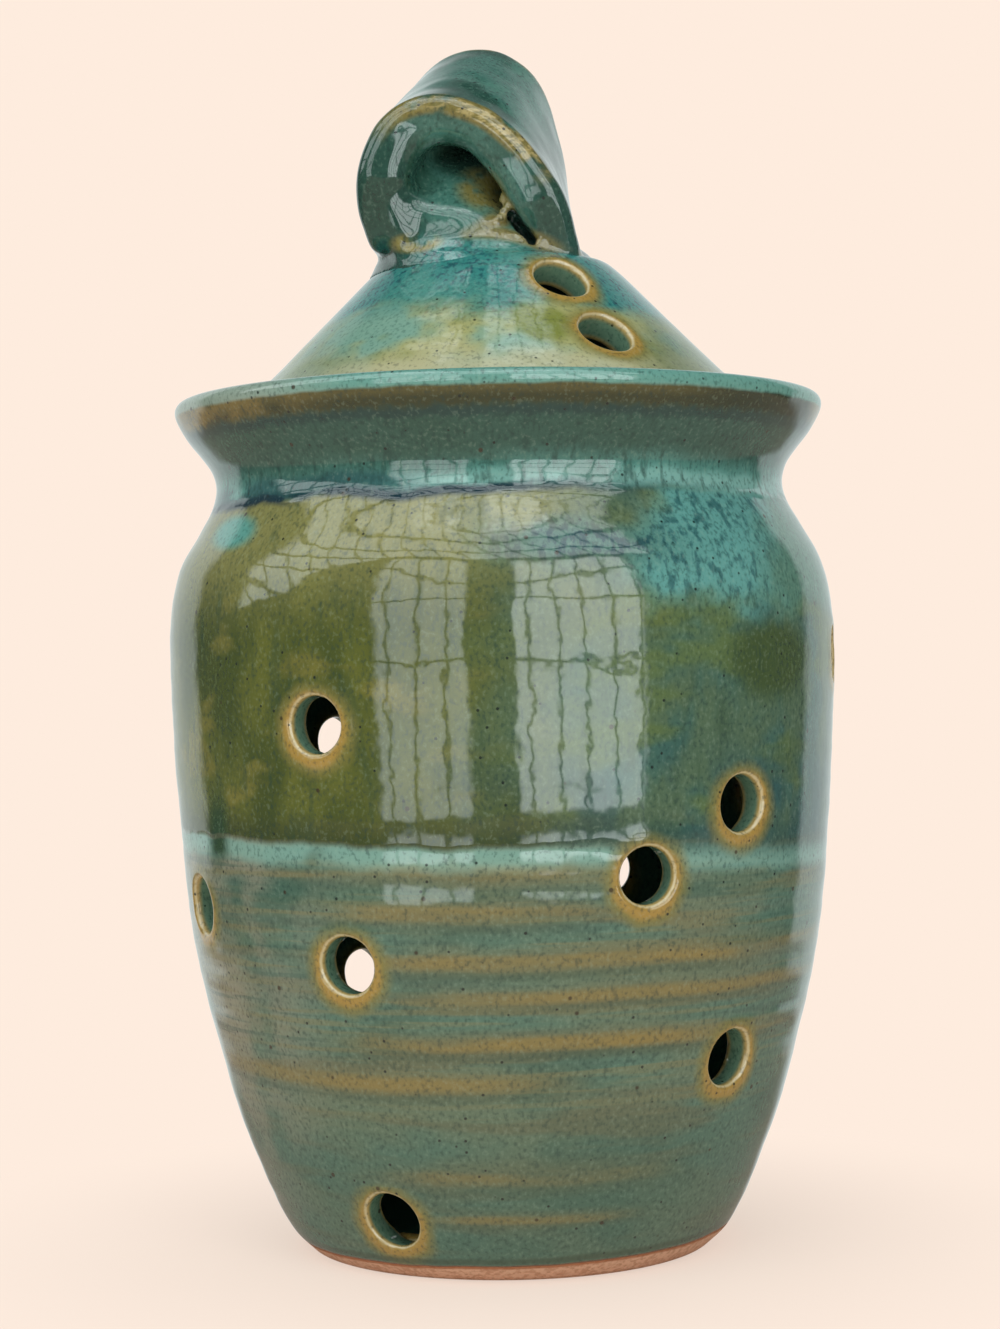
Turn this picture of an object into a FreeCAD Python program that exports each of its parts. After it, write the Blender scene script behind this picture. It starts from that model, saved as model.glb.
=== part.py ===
import FreeCAD, Part
import math
import os
import Sketcher

# A garlic keeper in glazed stoneware, in millimetres.
# The jar is thrown on the wheel, with round air vents cut through its wall and a
# gallery inside its flared rim. The lid is a hollow cone whose flange drops into
# the gallery. The handle is a wide strap of clay bent over a leaning stem and
# luted to the flat top of the cone.
# Frame: +Z up, the origin at the centre of the foot. Azimuths turn about +Z from
# the front (-Y) towards +X.

SIZES = {
    # jar, outside line from the foot up to the lip: corners between straight
    # lengths, each softened by a round. Radii are taken in from the belly or the
    # rim, and heights are shares of the neck's height.
    "foot_radius": 37.4,
    "foot_flare": 3.9,
    "foot_rise": 3.2,
    "belly_radius": 62.9,
    "neck_height": 141.8,
    "heel_inset": 14.8,
    "heel_share": 0.129,
    "low_inset": 10.1,
    "low_share": 0.228,
    "middle_inset": 4.9,
    "middle_share": 0.365,
    "high_inset": 1.8,
    "high_share": 0.5515,
    "belly_share": 0.7363,
    "shoulder_inset": 0.1,
    "shoulder_share": 0.829,
    "slope_inset": 2.7,
    "slope_share": 0.906,
    "wall_round": 12.0,
    "slope_round": 30.0,
    "neck_inset": 8.9,
    "neck_round": 7.4,
    "rim_radius": 61.2,
    "rim_rise": 17.0,
    "lip_width": 4.4,
    "lip_bevel": 1.4,
    "lip_drop": 2.0,
    # jar, inside
    "jar_wall": 5.0,
    "floor_thickness": 6.0,
    "floor_inset": 3.0,
    "floor_bevel": 5.0,
    "gallery_inset": 6.2,
    "gallery_depth": 7.3,
    "ledge_width": 6.6,
    # lid
    "lid_clearance": 0.6,
    "seat_gap": 0.3,
    "flange_thickness": 5.0,
    "flange_bevel": 1.2,
    "flange_width": 5.1,
    "lid_seat_radius": 21.6,
    "lid_slope": 45.0,
    "lid_wall": 5.0,
    "lid_roof": 4.5,
    # vents
    "vent_diameter": 10.0,
    "vent_overcut": 3.0,
    # handle: the stem
    "stem_lean": 3.5,
    "stem_radius": 18.4,
    "stem_height": 4.3,
    "stem_set_back": 5.0,
    "stem_overlap": 2.2,
    # handle: the strap
    "strap_thickness": 9.2,
    "strap_width": 36.0,
    "strap_tilt": 25.0,
    "strap_twist": 12.5,
    "strap_foot_width": 22.0,
    "strap_foot_height": 2.5,
    "strap_foot_tuck": 4.2,
    "loop_offset": -6.6,
    "loop_half_width": 15.3,
    "loop_spring": 5.6,
    "loop_rise": 27.2,
}

# Air vents in the jar: azimuth in degrees and height above the foot.
JAR_VENTS = {
    "a": (-31.3, 98.9),
    "b": (-27.9, 57.6),
    "c": (23.5, 72.4),
    "d": (42.2, 84.0),
    "e": (45.3, 39.0),
    "f": (-27.6, 11.6),
    "g": (-66.8, 66.1),
    "h": (80.0, 110.0),
    "i": (-143.5, 93.9),
    "j": (-145.7, 45.9),
    "k": (152.8, 66.2),
    "l": (117.0, 84.0),
    "m": (107.0, 25.5),
    "n": (-103.0, 97.0),
    "o": (178.0, 25.5),
}

# Air vents in the lid: azimuth in degrees and depth below the handle's seat.
LID_VENTS = {
    "p": (25.8, 5.7),
    "q": (30.7, 16.7),
    "r": (-154.0, 7.2),
    "s": (-148.0, 18.7),
}

POINTS = ("whole", "start", "end", "centre")
START = POINTS.index("start")
END = POINTS.index("end")
CENTRE = POINTS.index("centre")
GROUND_LINE, VERTICAL_AXIS = range(-1, -3, -1)
ORIGIN_POINT = (GROUND_LINE, START)


class Size:
    """A number and the expression that ties it to the spreadsheet."""

    def __init__(self, number, text):
        self.number = number
        self.text = text

    def combine(self, other, sign):
        if not isinstance(other, Size):
            other = Size(other, repr(other))
        numbers = {
            "+": self.number + other.number,
            "-": self.number - other.number,
            "*": self.number * other.number,
        }
        return Size(numbers[sign], f"({self.text} {sign} {other.text})")

    def __add__(self, other):
        return self.combine(other, "+")

    def __sub__(self, other):
        return self.combine(other, "-")

    def __mul__(self, other):
        return self.combine(other, "*")


def cosine(angle):
    return Size(math.cos(math.radians(angle.number)), f"cos({angle.text} * 1 deg)")


def sine(angle):
    return Size(math.sin(math.radians(angle.number)), f"sin({angle.text} * 1 deg)")


def over_tangent(length, angle):
    number = length.number / math.tan(math.radians(angle.number))
    return Size(number, f"({length.text} / tan({angle.text} * 1 deg))")


def times_tangent(length, angle):
    number = length.number * math.tan(math.radians(angle.number))
    return Size(number, f"({length.text} * tan({angle.text} * 1 deg))")


def over_sine(length, angle):
    number = length.number / math.sin(math.radians(angle.number))
    return Size(number, f"({length.text} / sin({angle.text} * 1 deg))")


def fill_sheet(doc):
    """Write every driving size to the spreadsheet and return them by name."""
    sheet = doc.addObject("Spreadsheet::Sheet", "sizes")
    values = dict(SIZES)
    for name, (azimuth, height) in JAR_VENTS.items():
        values[f"vent_{name}_azimuth"] = azimuth
        values[f"vent_{name}_height"] = height
    for name, (azimuth, depth) in LID_VENTS.items():
        values[f"vent_{name}_azimuth"] = azimuth
        values[f"vent_{name}_depth"] = depth
    for row, (alias, value) in enumerate(values.items(), start=1):
        sheet.set(f"A{row}", alias)
        sheet.set(f"B{row}", str(value))
        sheet.setAlias(f"B{row}", alias)
    doc.recompute()
    return {alias: Size(float(value), f"sizes.{alias}") for alias, value in values.items()}


# ---- sketch helpers ----

def new_body(doc, name, height=None):
    body = doc.addObject("PartDesign::Body", name)
    body.Label = name
    body.Placement = FreeCAD.Placement()
    if height is not None:
        body.setExpression(".Placement.Base.z", height.text)
    return body


def plane(body, role):
    return next(item for item in body.Origin.OriginFeatures if item.Role == role)


def new_sketch(body, name, role="XZ_Plane"):
    sketch = body.newObject("Sketcher::SketchObject", name)
    sketch.AttachmentSupport = (plane(body, role), [""])
    sketch.MapMode = "FlatFace"
    return sketch


def vector(point):
    return FreeCAD.Vector(point[0], point[1], 0)


def bind(sketch, kind, *arguments):
    """Add a dimension whose last argument is a Size, and tie it to the sheet."""
    size = arguments[-1]
    number = size.number
    if kind == "Angle":
        number = math.radians(number)
    index = sketch.addConstraint(Sketcher.Constraint(kind, *arguments[:-1], number))
    sketch.setExpression(f"Constraints[{index}]", size.text)


def pin(sketch, geometry, position, across, up):
    """Fix a point's distances from the axis and from the ground line."""
    bind(sketch, "DistanceX", *ORIGIN_POINT, geometry, position, across)
    bind(sketch, "DistanceY", *ORIGIN_POINT, geometry, position, up)


def link(sketch, kind, *arguments):
    sketch.addConstraint(Sketcher.Constraint(kind, *arguments))


def add_line(sketch, first, second, construction=False):
    return sketch.addGeometry(Part.LineSegment(vector(first), vector(second)), construction)


def add_arc(sketch, centre, first, second, anticlockwise):
    """Add an arc from first to second; return its index and its two end positions."""
    radius = math.dist(centre, first)
    angles = [math.atan2(p[1] - centre[1], p[0] - centre[0]) for p in (first, second)]
    ends = (START, END)
    if not anticlockwise:
        angles.reverse()
        ends = (END, START)
    if angles[1] < angles[0]:
        angles[1] += 2 * math.pi
    circle = Part.Circle(vector(centre), FreeCAD.Vector(0, 0, 1), radius)
    return sketch.addGeometry(Part.ArcOfCircle(circle, *angles), False), ends


def numbers(point):
    return (point[0].number, point[1].number)


def step_from(point, towards, length):
    apart = math.dist(point, towards)
    return tuple(point[i] + (towards[i] - point[i]) * length / apart for i in (0, 1))


def settle(sketch, geometry, position, across, up):
    """Pin a point, on the axis or on the ground line where a size is nought."""
    if across.number:
        bind(sketch, "DistanceX", *ORIGIN_POINT, geometry, position, across)
    else:
        link(sketch, "PointOnObject", geometry, position, VERTICAL_AXIS)
    if up.number:
        bind(sketch, "DistanceY", *ORIGIN_POINT, geometry, position, up)
    else:
        link(sketch, "PointOnObject", geometry, position, GROUND_LINE)


def draw_profile(sketch, corners):
    """Draw a closed line through the corners of a section.

    Each corner is (radius, height, round). A corner with a round is cut off by a
    tangent arc, and keeps its own place as a construction point.
    """
    count = len(corners)
    places = [numbers(corner) for corner in corners]
    leave = []
    arrive = []
    for i, (across, up, rounding) in enumerate(corners):
        cut = 0.0
        if rounding:
            before, after = places[i - 1], places[(i + 1) % count]
            turns = [math.atan2(p[1] - places[i][1], p[0] - places[i][0]) for p in (before, after)]
            opening = abs((turns[1] - turns[0] + math.pi) % (2 * math.pi) - math.pi)
            cut = rounding.number / math.tan(opening / 2)
        arrive.append(step_from(places[i], places[i - 1], cut))
        leave.append(step_from(places[i], places[(i + 1) % count], cut))
    lines = [add_line(sketch, leave[i], arrive[(i + 1) % count]) for i in range(count)]

    for i, (across, up, rounding) in enumerate(corners):
        line_in, line_out = lines[i - 1], lines[i]
        if not rounding:
            link(sketch, "Coincident", line_in, END, line_out, START)
            settle(sketch, line_out, START, across, up)
            continue
        corner = sketch.addGeometry(Part.Point(vector(places[i])), True)
        settle(sketch, corner, START, across, up)
        link(sketch, "PointOnObject", corner, START, line_in)
        link(sketch, "PointOnObject", corner, START, line_out)
        middle = [(arrive[i][j] + leave[i][j]) / 2 for j in (0, 1)]
        span = math.dist(places[i], arrive[i])
        reach = math.hypot(span, rounding.number)
        centre = step_from(places[i], middle, reach)
        side = (arrive[i][0] - centre[0]) * (leave[i][1] - centre[1])
        side -= (arrive[i][1] - centre[1]) * (leave[i][0] - centre[0])
        arc, ends = add_arc(sketch, centre, arrive[i], leave[i], side > 0)
        link(sketch, "Tangent", line_in, END, arc, ends[0])
        link(sketch, "Tangent", arc, ends[1], line_out, START)
        bind(sketch, "Radius", arc, rounding)
    return lines


# ---- jar ----

def jar_top(size):
    return size["neck_height"] + size["rim_rise"]


def gallery(size):
    """Radius and height of the ledge that the lid lies on, at its outer edge."""
    return size["rim_radius"] - size["gallery_inset"], jar_top(size) - size["gallery_depth"]


def jar_section(sketch, size):
    """The jar's wall on one side of the axis: outside, lip, gallery, inside, floor."""
    ground = Size(0.0, "0")
    wall = size["jar_wall"]
    soft = size["wall_round"]
    belly = size["belly_radius"]
    neck = size["neck_height"]
    rim = size["rim_radius"]
    top = jar_top(size)
    lip_base = top - size["lip_drop"]
    lip_inside = rim - size["lip_width"]
    ledge_radius, ledge_height = gallery(size)
    throat = ledge_radius - size["ledge_width"]
    floor = size["floor_thickness"]
    floor_radius = size["foot_radius"] - size["floor_inset"]
    side = [
        (belly - size["heel_inset"], neck * size["heel_share"]),
        (belly - size["low_inset"], neck * size["low_share"]),
        (belly - size["middle_inset"], neck * size["middle_share"]),
        (belly - size["high_inset"], neck * size["high_share"]),
        (belly, neck * size["belly_share"]),
        (belly - size["shoulder_inset"], neck * size["shoulder_share"]),
        (belly - size["slope_inset"], neck * size["slope_share"]),
    ]
    outside = [(radius, height, soft) for radius, height in side[:-1]]
    outside.append((*side[-1], size["slope_round"]))
    inside = [(radius - wall, height, None) for radius, height in reversed(side)]
    corners = [
        (ground, ground, None),
        (size["foot_radius"], ground, None),
        (size["foot_radius"] + size["foot_flare"], size["foot_rise"], None),
        *outside,
        (rim - size["neck_inset"], neck, size["neck_round"]),
        (rim, lip_base, None),
        (rim - size["lip_bevel"], top, None),
        (lip_inside + size["lip_bevel"], top, None),
        (lip_inside, lip_base, None),
        (ledge_radius, ledge_height, None),
        (throat, ledge_height, None),
        (throat, neck, None),
        *inside,
        (floor_radius + size["floor_bevel"], floor + size["floor_bevel"], None),
        (floor_radius, floor, None),
        (ground, floor, None),
    ]
    draw_profile(sketch, corners)


def revolve(body, name, sketch):
    turned = body.newObject("PartDesign::Revolution", name)
    turned.Profile = sketch
    turned.ReferenceAxis = (sketch, ["V_Axis"])
    turned.Angle = 360.0
    return turned


# ---- vents ----

def cut_vent(body, name, size, azimuth, start, length, tilt):
    """Turn a vent about its own centre line, in the upright plane at its azimuth.

    start is the inner end of the centre line, which rises outwards by tilt degrees.
    """
    sketch = new_sketch(body, f"vent_{name}_half")
    sketch.AttachmentOffset = FreeCAD.Placement(
        FreeCAD.Vector(), FreeCAD.Rotation(FreeCAD.Vector(0, 1, 0), 1.0))
    turn = azimuth - 90.0
    sketch.setExpression(".AttachmentOffset.Rotation.Angle", turn.text)
    half = size["vent_diameter"] * 0.5
    lean = math.radians(tilt.number)
    along = (math.cos(lean), math.sin(lean))
    aside = (-along[1], along[0])
    near = numbers(start)
    far = tuple(near[i] + along[i] * length.number for i in (0, 1))
    far_side = tuple(far[i] + aside[i] * half.number for i in (0, 1))
    near_side = tuple(near[i] + aside[i] * half.number for i in (0, 1))
    centre_line = add_line(sketch, near, far, construction=True)
    corners = (near, far, far_side, near_side)
    sides = [add_line(sketch, corners[i], corners[(i + 1) % 4]) for i in range(4)]
    pin(sketch, centre_line, START, *start)
    if tilt.number:
        bind(sketch, "Angle", centre_line, tilt)
    else:
        link(sketch, "Horizontal", centre_line)
    bind(sketch, "Distance", centre_line, length)
    link(sketch, "Coincident", centre_line, START, sides[0], START)
    link(sketch, "Coincident", centre_line, END, sides[0], END)
    for i in range(4):
        link(sketch, "Coincident", sides[i], END, sides[(i + 1) % 4], START)
    link(sketch, "Perpendicular", sides[0], sides[1])
    link(sketch, "Perpendicular", sides[0], sides[3])
    link(sketch, "Parallel", sides[0], sides[2])
    bind(sketch, "Distance", sides[1], half)
    vent = body.newObject("PartDesign::Groove", f"vent_{name}")
    vent.Profile = sketch
    vent.ReferenceAxis = (sketch, ["Axis0"])
    vent.Angle = 360.0
    return vent


def make_jar(doc, size):
    body = new_body(doc, "jar")
    section = new_sketch(body, "jar_section")
    jar_section(section, size)
    revolve(body, "thrown_jar", section)
    inside = size["foot_radius"] * 0.5
    through = size["belly_radius"] + size["vent_overcut"] - inside
    for name in JAR_VENTS:
        start = (inside, size[f"vent_{name}_height"])
        cut_vent(body, name, size, size[f"vent_{name}_azimuth"], start, through, Size(0.0, "0"))
    return body


# ---- lid ----

def lid_rim(size):
    return gallery(size)[0] - size["lid_clearance"]


def lid_top(size):
    """Height of the handle's seat above the flange's underside."""
    run = lid_rim(size) - size["flange_width"] - size["lid_seat_radius"]
    return size["flange_thickness"] + times_tangent(run, size["lid_slope"])


def lid_section(sketch, size):
    """The lid's wall on one side of the axis, from the flange's underside up."""
    ground = Size(0.0, "0")
    slope = size["lid_slope"]
    top = lid_top(size)
    thick = size["flange_thickness"]
    bevel = size["flange_bevel"]
    rim = lid_rim(size)
    seat = size["lid_seat_radius"]
    roof = top - size["lid_roof"]
    inner_foot = seat + over_tangent(top, slope) - over_sine(size["lid_wall"], slope)
    corners = [
        (inner_foot, ground, None),
        (rim - bevel, ground, None),
        (rim, bevel, None),
        (rim, thick - bevel, None),
        (rim - bevel, thick, None),
        (rim - size["flange_width"], thick, None),
        (seat, top, None),
        (ground, top, None),
        (ground, roof, None),
        (inner_foot - over_tangent(roof, slope), roof, None),
    ]
    draw_profile(sketch, corners)


def lid_underside(size):
    """Height of the flange's underside, which hangs just clear of the gallery."""
    return gallery(size)[1] + size["seat_gap"]


def make_lid(doc, size):
    body = new_body(doc, "lid", lid_underside(size))
    section = new_sketch(body, "lid_section")
    lid_section(section, size)
    revolve(body, "thrown_lid", section)
    slope = size["lid_slope"]
    square_on = Size(90.0, "90") - slope
    inside = size["lid_wall"] + size["vent_overcut"]
    through = inside + size["vent_overcut"]
    for name in LID_VENTS:
        depth = size[f"vent_{name}_depth"]
        radius = size["lid_seat_radius"] + over_tangent(depth, slope)
        height = lid_top(size) - depth
        start = (radius - inside * cosine(square_on), height - inside * sine(square_on))
        cut_vent(body, name, size, size[f"vent_{name}_azimuth"], start, through, square_on)
    return body


# ---- handle ----

def round_section(body, name, height, across, back, half_wide, half_deep):
    """A level oval section of the stem: its height, centre and half widths."""
    sketch = new_sketch(body, name, "XY_Plane")
    sketch.AttachmentOffset = FreeCAD.Placement()
    sketch.setExpression(".AttachmentOffset.Base.x", across.text)
    sketch.setExpression(".AttachmentOffset.Base.y", back.text)
    sketch.setExpression(".AttachmentOffset.Base.z", height.text)
    if half_wide.text == half_deep.text:
        circle = Part.Circle(FreeCAD.Vector(), FreeCAD.Vector(0, 0, 1), half_wide.number)
        outline = sketch.addGeometry(circle, False)
        bind(sketch, "Radius", outline, half_wide)
    else:
        wide = FreeCAD.Vector(half_wide.number, 0, 0)
        deep = FreeCAD.Vector(0, half_deep.number, 0)
        outline = sketch.addGeometry(Part.Ellipse(wide, deep, FreeCAD.Vector()), False)
        sketch.exposeInternalGeometry(outline)
        across_line, deep_line = outline + 1, outline + 2
        link(sketch, "Horizontal", across_line)
        bind(sketch, "Distance", across_line, half_wide * 2.0)
        bind(sketch, "Distance", deep_line, half_deep * 2.0)
    link(sketch, "Coincident", outline, CENTRE, *ORIGIN_POINT)
    return sketch


def strap_section(body, name, size, angle, place, width):
    """A section square across the strap: two flats joined by round edges.

    angle is how far the strap has turned over from the left leg; place is the
    section's centre, and the tilt drops the strap's front edge.
    """
    sketch = new_sketch(body, name, "XY_Plane")
    turned = math.sin(math.radians(angle))
    tilt = size["strap_tilt"] * turned
    twist = size["strap_twist"] * -turned
    sketch.setExpression(
        ".AttachmentOffset",
        f"placement(vector({place[0].text}; 0; {place[1].text}); "
        f"rotation({twist.text}; {angle}; 0))")
    half = size["strap_thickness"] * 0.5
    reach = (width.number - size["strap_thickness"].number) / 2
    lean = math.radians(90.0 + tilt.number)
    along = (math.cos(lean), math.sin(lean))
    aside = (-along[1], along[0])
    back = (along[0] * reach, along[1] * reach)
    front = (-back[0], -back[1])

    def beside(point, sign):
        return tuple(point[i] + sign * aside[i] * half.number for i in (0, 1))

    spine = add_line(sketch, front, back, construction=True)
    outer = add_line(sketch, beside(front, 1), beside(back, 1))
    back_arc, back_ends = add_arc(sketch, back, beside(back, 1), beside(back, -1), False)
    inner = add_line(sketch, beside(back, -1), beside(front, -1))
    front_arc, front_ends = add_arc(sketch, front, beside(front, -1), beside(front, 1), False)
    link(sketch, "Symmetric", spine, START, spine, END, *ORIGIN_POINT)
    bind(sketch, "Distance", spine, width - size["strap_thickness"])
    bind(sketch, "Angle", spine, tilt + 90.0)
    link(sketch, "Coincident", back_arc, CENTRE, spine, END)
    link(sketch, "Coincident", front_arc, CENTRE, spine, START)
    bind(sketch, "Radius", back_arc, half)
    link(sketch, "Equal", back_arc, front_arc)
    link(sketch, "Tangent", outer, END, back_arc, back_ends[0])
    link(sketch, "Tangent", back_arc, back_ends[1], inner, START)
    link(sketch, "Tangent", inner, END, front_arc, front_ends[0])
    link(sketch, "Tangent", front_arc, front_ends[1], outer, START)
    return sketch


def loft(body, name, sections):
    feature = body.newObject("PartDesign::AdditiveLoft", name)
    feature.Profile = sections[0]
    feature.Sections = sections[1:]
    feature.Ruled = False
    return feature


def make_handle(doc, size):
    body = new_body(doc, "lid_handle", lid_underside(size) + lid_top(size))
    make_stem(body, size)
    make_strap(body, size)
    return body


def make_stem(body, size):
    """The stem flares onto the cone, leans to the left and closes the loop's middle."""
    ground = Size(0.0, "0")
    lean = size["stem_lean"]
    radius = size["stem_radius"]
    back = size["stem_set_back"]
    seat_radius = size["lid_seat_radius"]
    height = size["loop_spring"] + size["loop_rise"]
    left = size["loop_offset"]
    inside = size["loop_half_width"] - size["strap_thickness"] * 0.5
    stages = (
        (ground, ground, ground, seat_radius, seat_radius),
        (size["stem_height"], ground - lean, ground, radius, radius),
        (height * 0.35, left, back * 0.6, inside + size["stem_overlap"], radius * 0.6),
        (height * 0.64, left, back, inside + size["stem_overlap"] * 0.4, radius * 0.42),
        (height * 0.88, left, back * 1.2, inside * 0.65, radius * 0.32),
    )
    sections = [round_section(body, f"stem_{i}", *stage) for i, stage in enumerate(stages)]
    return loft(body, "stem", sections)


def make_strap(body, size):
    """The strap rises from its left foot, bends over the stem and comes down on the right."""
    offset = size["loop_offset"]
    half_wide = size["loop_half_width"]
    spring = size["loop_spring"]
    rise = size["loop_rise"]
    foot_width = size["strap_foot_width"]
    foot_height = size["strap_foot_height"]
    places = [(0, (offset - half_wide + size["strap_foot_tuck"], foot_height), foot_width)]
    for angle in range(0, 181, 30):
        turned = math.radians(angle)
        place = (offset - half_wide * math.cos(turned), spring + rise * math.sin(turned))
        places.append((angle, place, size["strap_width"]))
    places.append((180, (offset + half_wide, foot_height), foot_width))
    sections = [
        strap_section(body, f"strap_{i}", size, *stage) for i, stage in enumerate(places)]
    return loft(body, "strap", sections)


# ---- document ----

def check(doc):
    """Stop if any object failed or any sub-part has no sound solid."""
    for item in doc.Objects:
        if "Invalid" in item.State or "Error" in item.State:
            raise RuntimeError(f"{item.Label} failed: {item.State}")
        if hasattr(item, "Shape") and item.TypeId == "PartDesign::Body":
            if item.Shape.isNull() or not item.Shape.isValid():
                raise RuntimeError(f"{item.Label} has no valid shape")


def main():
    doc = FreeCAD.newDocument("garlic_keeper")
    size = fill_sheet(doc)
    bodies = [make_jar(doc, size), make_lid(doc, size), make_handle(doc, size)]
    doc.recompute()
    check(doc)
    os.makedirs("parts", exist_ok=True)
    for body in bodies:
        body.Shape.exportStep(f"parts/{body.Label}.step")


main()
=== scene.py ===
import math

import bpy
import numpy as np
from mathutils import Matrix


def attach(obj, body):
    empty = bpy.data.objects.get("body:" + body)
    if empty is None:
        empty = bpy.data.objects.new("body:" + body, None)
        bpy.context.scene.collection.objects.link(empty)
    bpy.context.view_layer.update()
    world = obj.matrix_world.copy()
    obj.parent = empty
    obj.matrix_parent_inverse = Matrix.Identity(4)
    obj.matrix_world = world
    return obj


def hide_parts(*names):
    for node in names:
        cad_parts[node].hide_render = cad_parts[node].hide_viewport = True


bl_info = {
    "name": "Thrown garlic keeper",
    "version": (1, 0, 0),
    "blender": (4, 5, 0),
    "location": "View3D > Sidebar > Garlic keeper",
    "description": "A glazed stoneware garlic keeper with a vented jar, a cone lid and a strap handle",
    "category": "Object",
}

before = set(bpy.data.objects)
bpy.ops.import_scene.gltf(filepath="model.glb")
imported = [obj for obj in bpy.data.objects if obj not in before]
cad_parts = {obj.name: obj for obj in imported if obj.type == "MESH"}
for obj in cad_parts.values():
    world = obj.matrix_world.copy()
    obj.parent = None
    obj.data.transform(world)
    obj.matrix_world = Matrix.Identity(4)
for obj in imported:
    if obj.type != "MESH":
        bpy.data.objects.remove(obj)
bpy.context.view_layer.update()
MM = 0.001

# ---- shapes, in mm: +Z up from the foot, -Y the front ----

# The walls as the potter threw them. Each point is radius, height and the spacing of
# the rows of faces from there on. The jar's line starts in the middle of the
# underside, goes up the outside, over the lip and down the inside.
JAR_WALL = {
    "underside": [(0.0, 0.0, 4.0), (34.0, 0.0, 1.2), (36.6, 0.0, 0.4)],
    "outside": [
        (37.6, 0.25, 0.5),
        (38.8, 1.2, 0.8),
        (41.3, 3.7, 1.3),
        (44.6, 9.6, 1.45),
        (48.2, 18.1, 1.5),
        (51.4, 26.8, 1.5),
        (54.6, 38.5, 1.5),
        (57.7, 51.0, 1.5),
        (59.7, 63.0, 1.5),
        (61.0, 77.6, 1.5),
        (61.95, 91.0, 1.5),
        (62.45, 103.0, 1.5),
        (62.6, 112.0, 1.5),
        (62.0, 121.5, 1.4),
        (60.0, 128.8, 1.3),
        (56.8, 134.3, 1.2),
        (54.2, 139.2, 1.0),
        (53.5, 142.8, 0.9),
        (54.3, 146.0, 0.9),
        (56.3, 148.9, 1.0),
        (58.5, 151.6, 1.0),
        (60.1, 154.2, 0.8),
    ],
    "lip": [(60.95, 156.1, 0.45), (61.05, 157.3, 0.35), (60.5, 158.3, 0.35), (59.4, 158.75, 0.35)],
    "gallery": [
        (58.1, 158.5, 0.35),
        (57.2, 157.6, 0.5),
        (56.4, 155.4, 0.9),
        (55.35, 152.5, 0.4),
        (54.9, 151.75, 0.3),
        (54.2, 151.5, 0.8),
        (49.6, 151.5, 0.4),
        (48.7, 151.15, 0.35),
        (48.4, 150.3, 0.8),
    ],
    "inside": [
        (48.3, 146.0, 1.2),
        (48.4, 142.6, 1.3),
        (49.8, 138.0, 1.4),
        (52.8, 132.4, 1.5),
        (55.6, 126.5, 1.5),
        (57.2, 118.0, 1.5),
        (57.5, 108.0, 1.5),
        (57.0, 94.0, 1.5),
        (56.0, 78.0, 1.5),
        (54.3, 62.0, 1.5),
        (52.0, 49.0, 1.5),
        (48.7, 36.0, 1.5),
        (45.6, 26.0, 1.5),
        (42.2, 17.0, 1.5),
        (39.6, 11.5, 1.3),
    ],
    "floor": [(37.0, 8.3, 1.1), (33.5, 6.5, 1.6), (29.0, 6.0, 4.0), (0.0, 6.0, 4.0)],
}

# The lid's line starts in the middle of its ceiling, goes down the hollow, round the
# flange and up the cone to the flat that the handle is luted to.
LID_WALL = {
    "ceiling": [(0.0, 180.0, 4.0), (16.0, 180.0, 1.5), (18.0, 179.6, 0.8)],
    "hollow": [(19.4, 178.5, 1.2), (22.0, 175.9, 1.4), (33.0, 164.9, 1.4), (44.0, 153.9, 1.0)],
    "flange": [
        (45.2, 152.6, 0.5),
        (46.2, 151.9, 0.5),
        (48.0, 151.8, 1.2),
        (52.9, 151.8, 0.4),
        (53.9, 152.2, 0.35),
        (54.3, 153.2, 0.6),
        (54.3, 155.4, 0.35),
        (53.9, 156.4, 0.35),
        (52.8, 156.8, 0.8),
        (51.0, 156.95, 0.5),
        (49.9, 157.25, 0.5),
    ],
    "cone": [(48.6, 157.9, 0.9), (44.2, 161.9, 1.3), (33.0, 173.1, 1.4), (23.0, 183.1, 1.2)],
    "seat": [(21.3, 184.3, 0.5), (20.4, 184.5, 3.0), (0.0, 184.5, 4.0)],
}

# Thickness of the wall, and about how tall a row of faces is where vents are cut.
WALL_THICKNESS = 5.0
ROW_HEIGHT = 1.5

# Columns of faces round each wall, and the height above which rings and wobble are gone.
# The jar's rim stays true; the lid's rings run all the way up.
JAR_COLUMNS = 200
LID_COLUMNS = 160
JAR_CALM_ABOVE = 150.0
LID_CALM_ABOVE = 500.0

# Vents: azimuth in degrees from the front towards the right, and height in mm where
# the centre line meets the outside.
JAR_VENTS = {
    "upper_left": (-31.3, 98.9),
    "middle_left": (-27.9, 57.6),
    "middle_front": (23.5, 72.4),
    "middle_right": (42.2, 84.0),
    "lower_right": (45.3, 39.0),
    "foot": (-27.6, 11.6),
    "far_left": (-66.8, 66.1),
    "far_right": (80.0, 110.0),
    "back_upper": (-143.5, 93.9),
    "back_lower": (-145.7, 45.9),
    "back_middle": (157.5, 66.2),
    "right_back": (117.0, 84.0),
    "right_low": (107.0, 25.5),
    "left_back": (-103.0, 97.0),
    "back_foot": (178.0, 25.5),
}
LID_VENTS = {
    "front_upper": (25.8, 178.8),
    "front_lower": (30.7, 167.8),
    "back_upper": (-154.0, 177.3),
    "back_lower": (-148.0, 165.8),
}
CONE_SLOPE = math.radians(45)

# The flat that the handle is luted to: its height, and the radius where the cone's
# slope would reach that height.
SEAT_HEIGHT = 184.5
SEAT_RADIUS = 21.6

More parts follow.
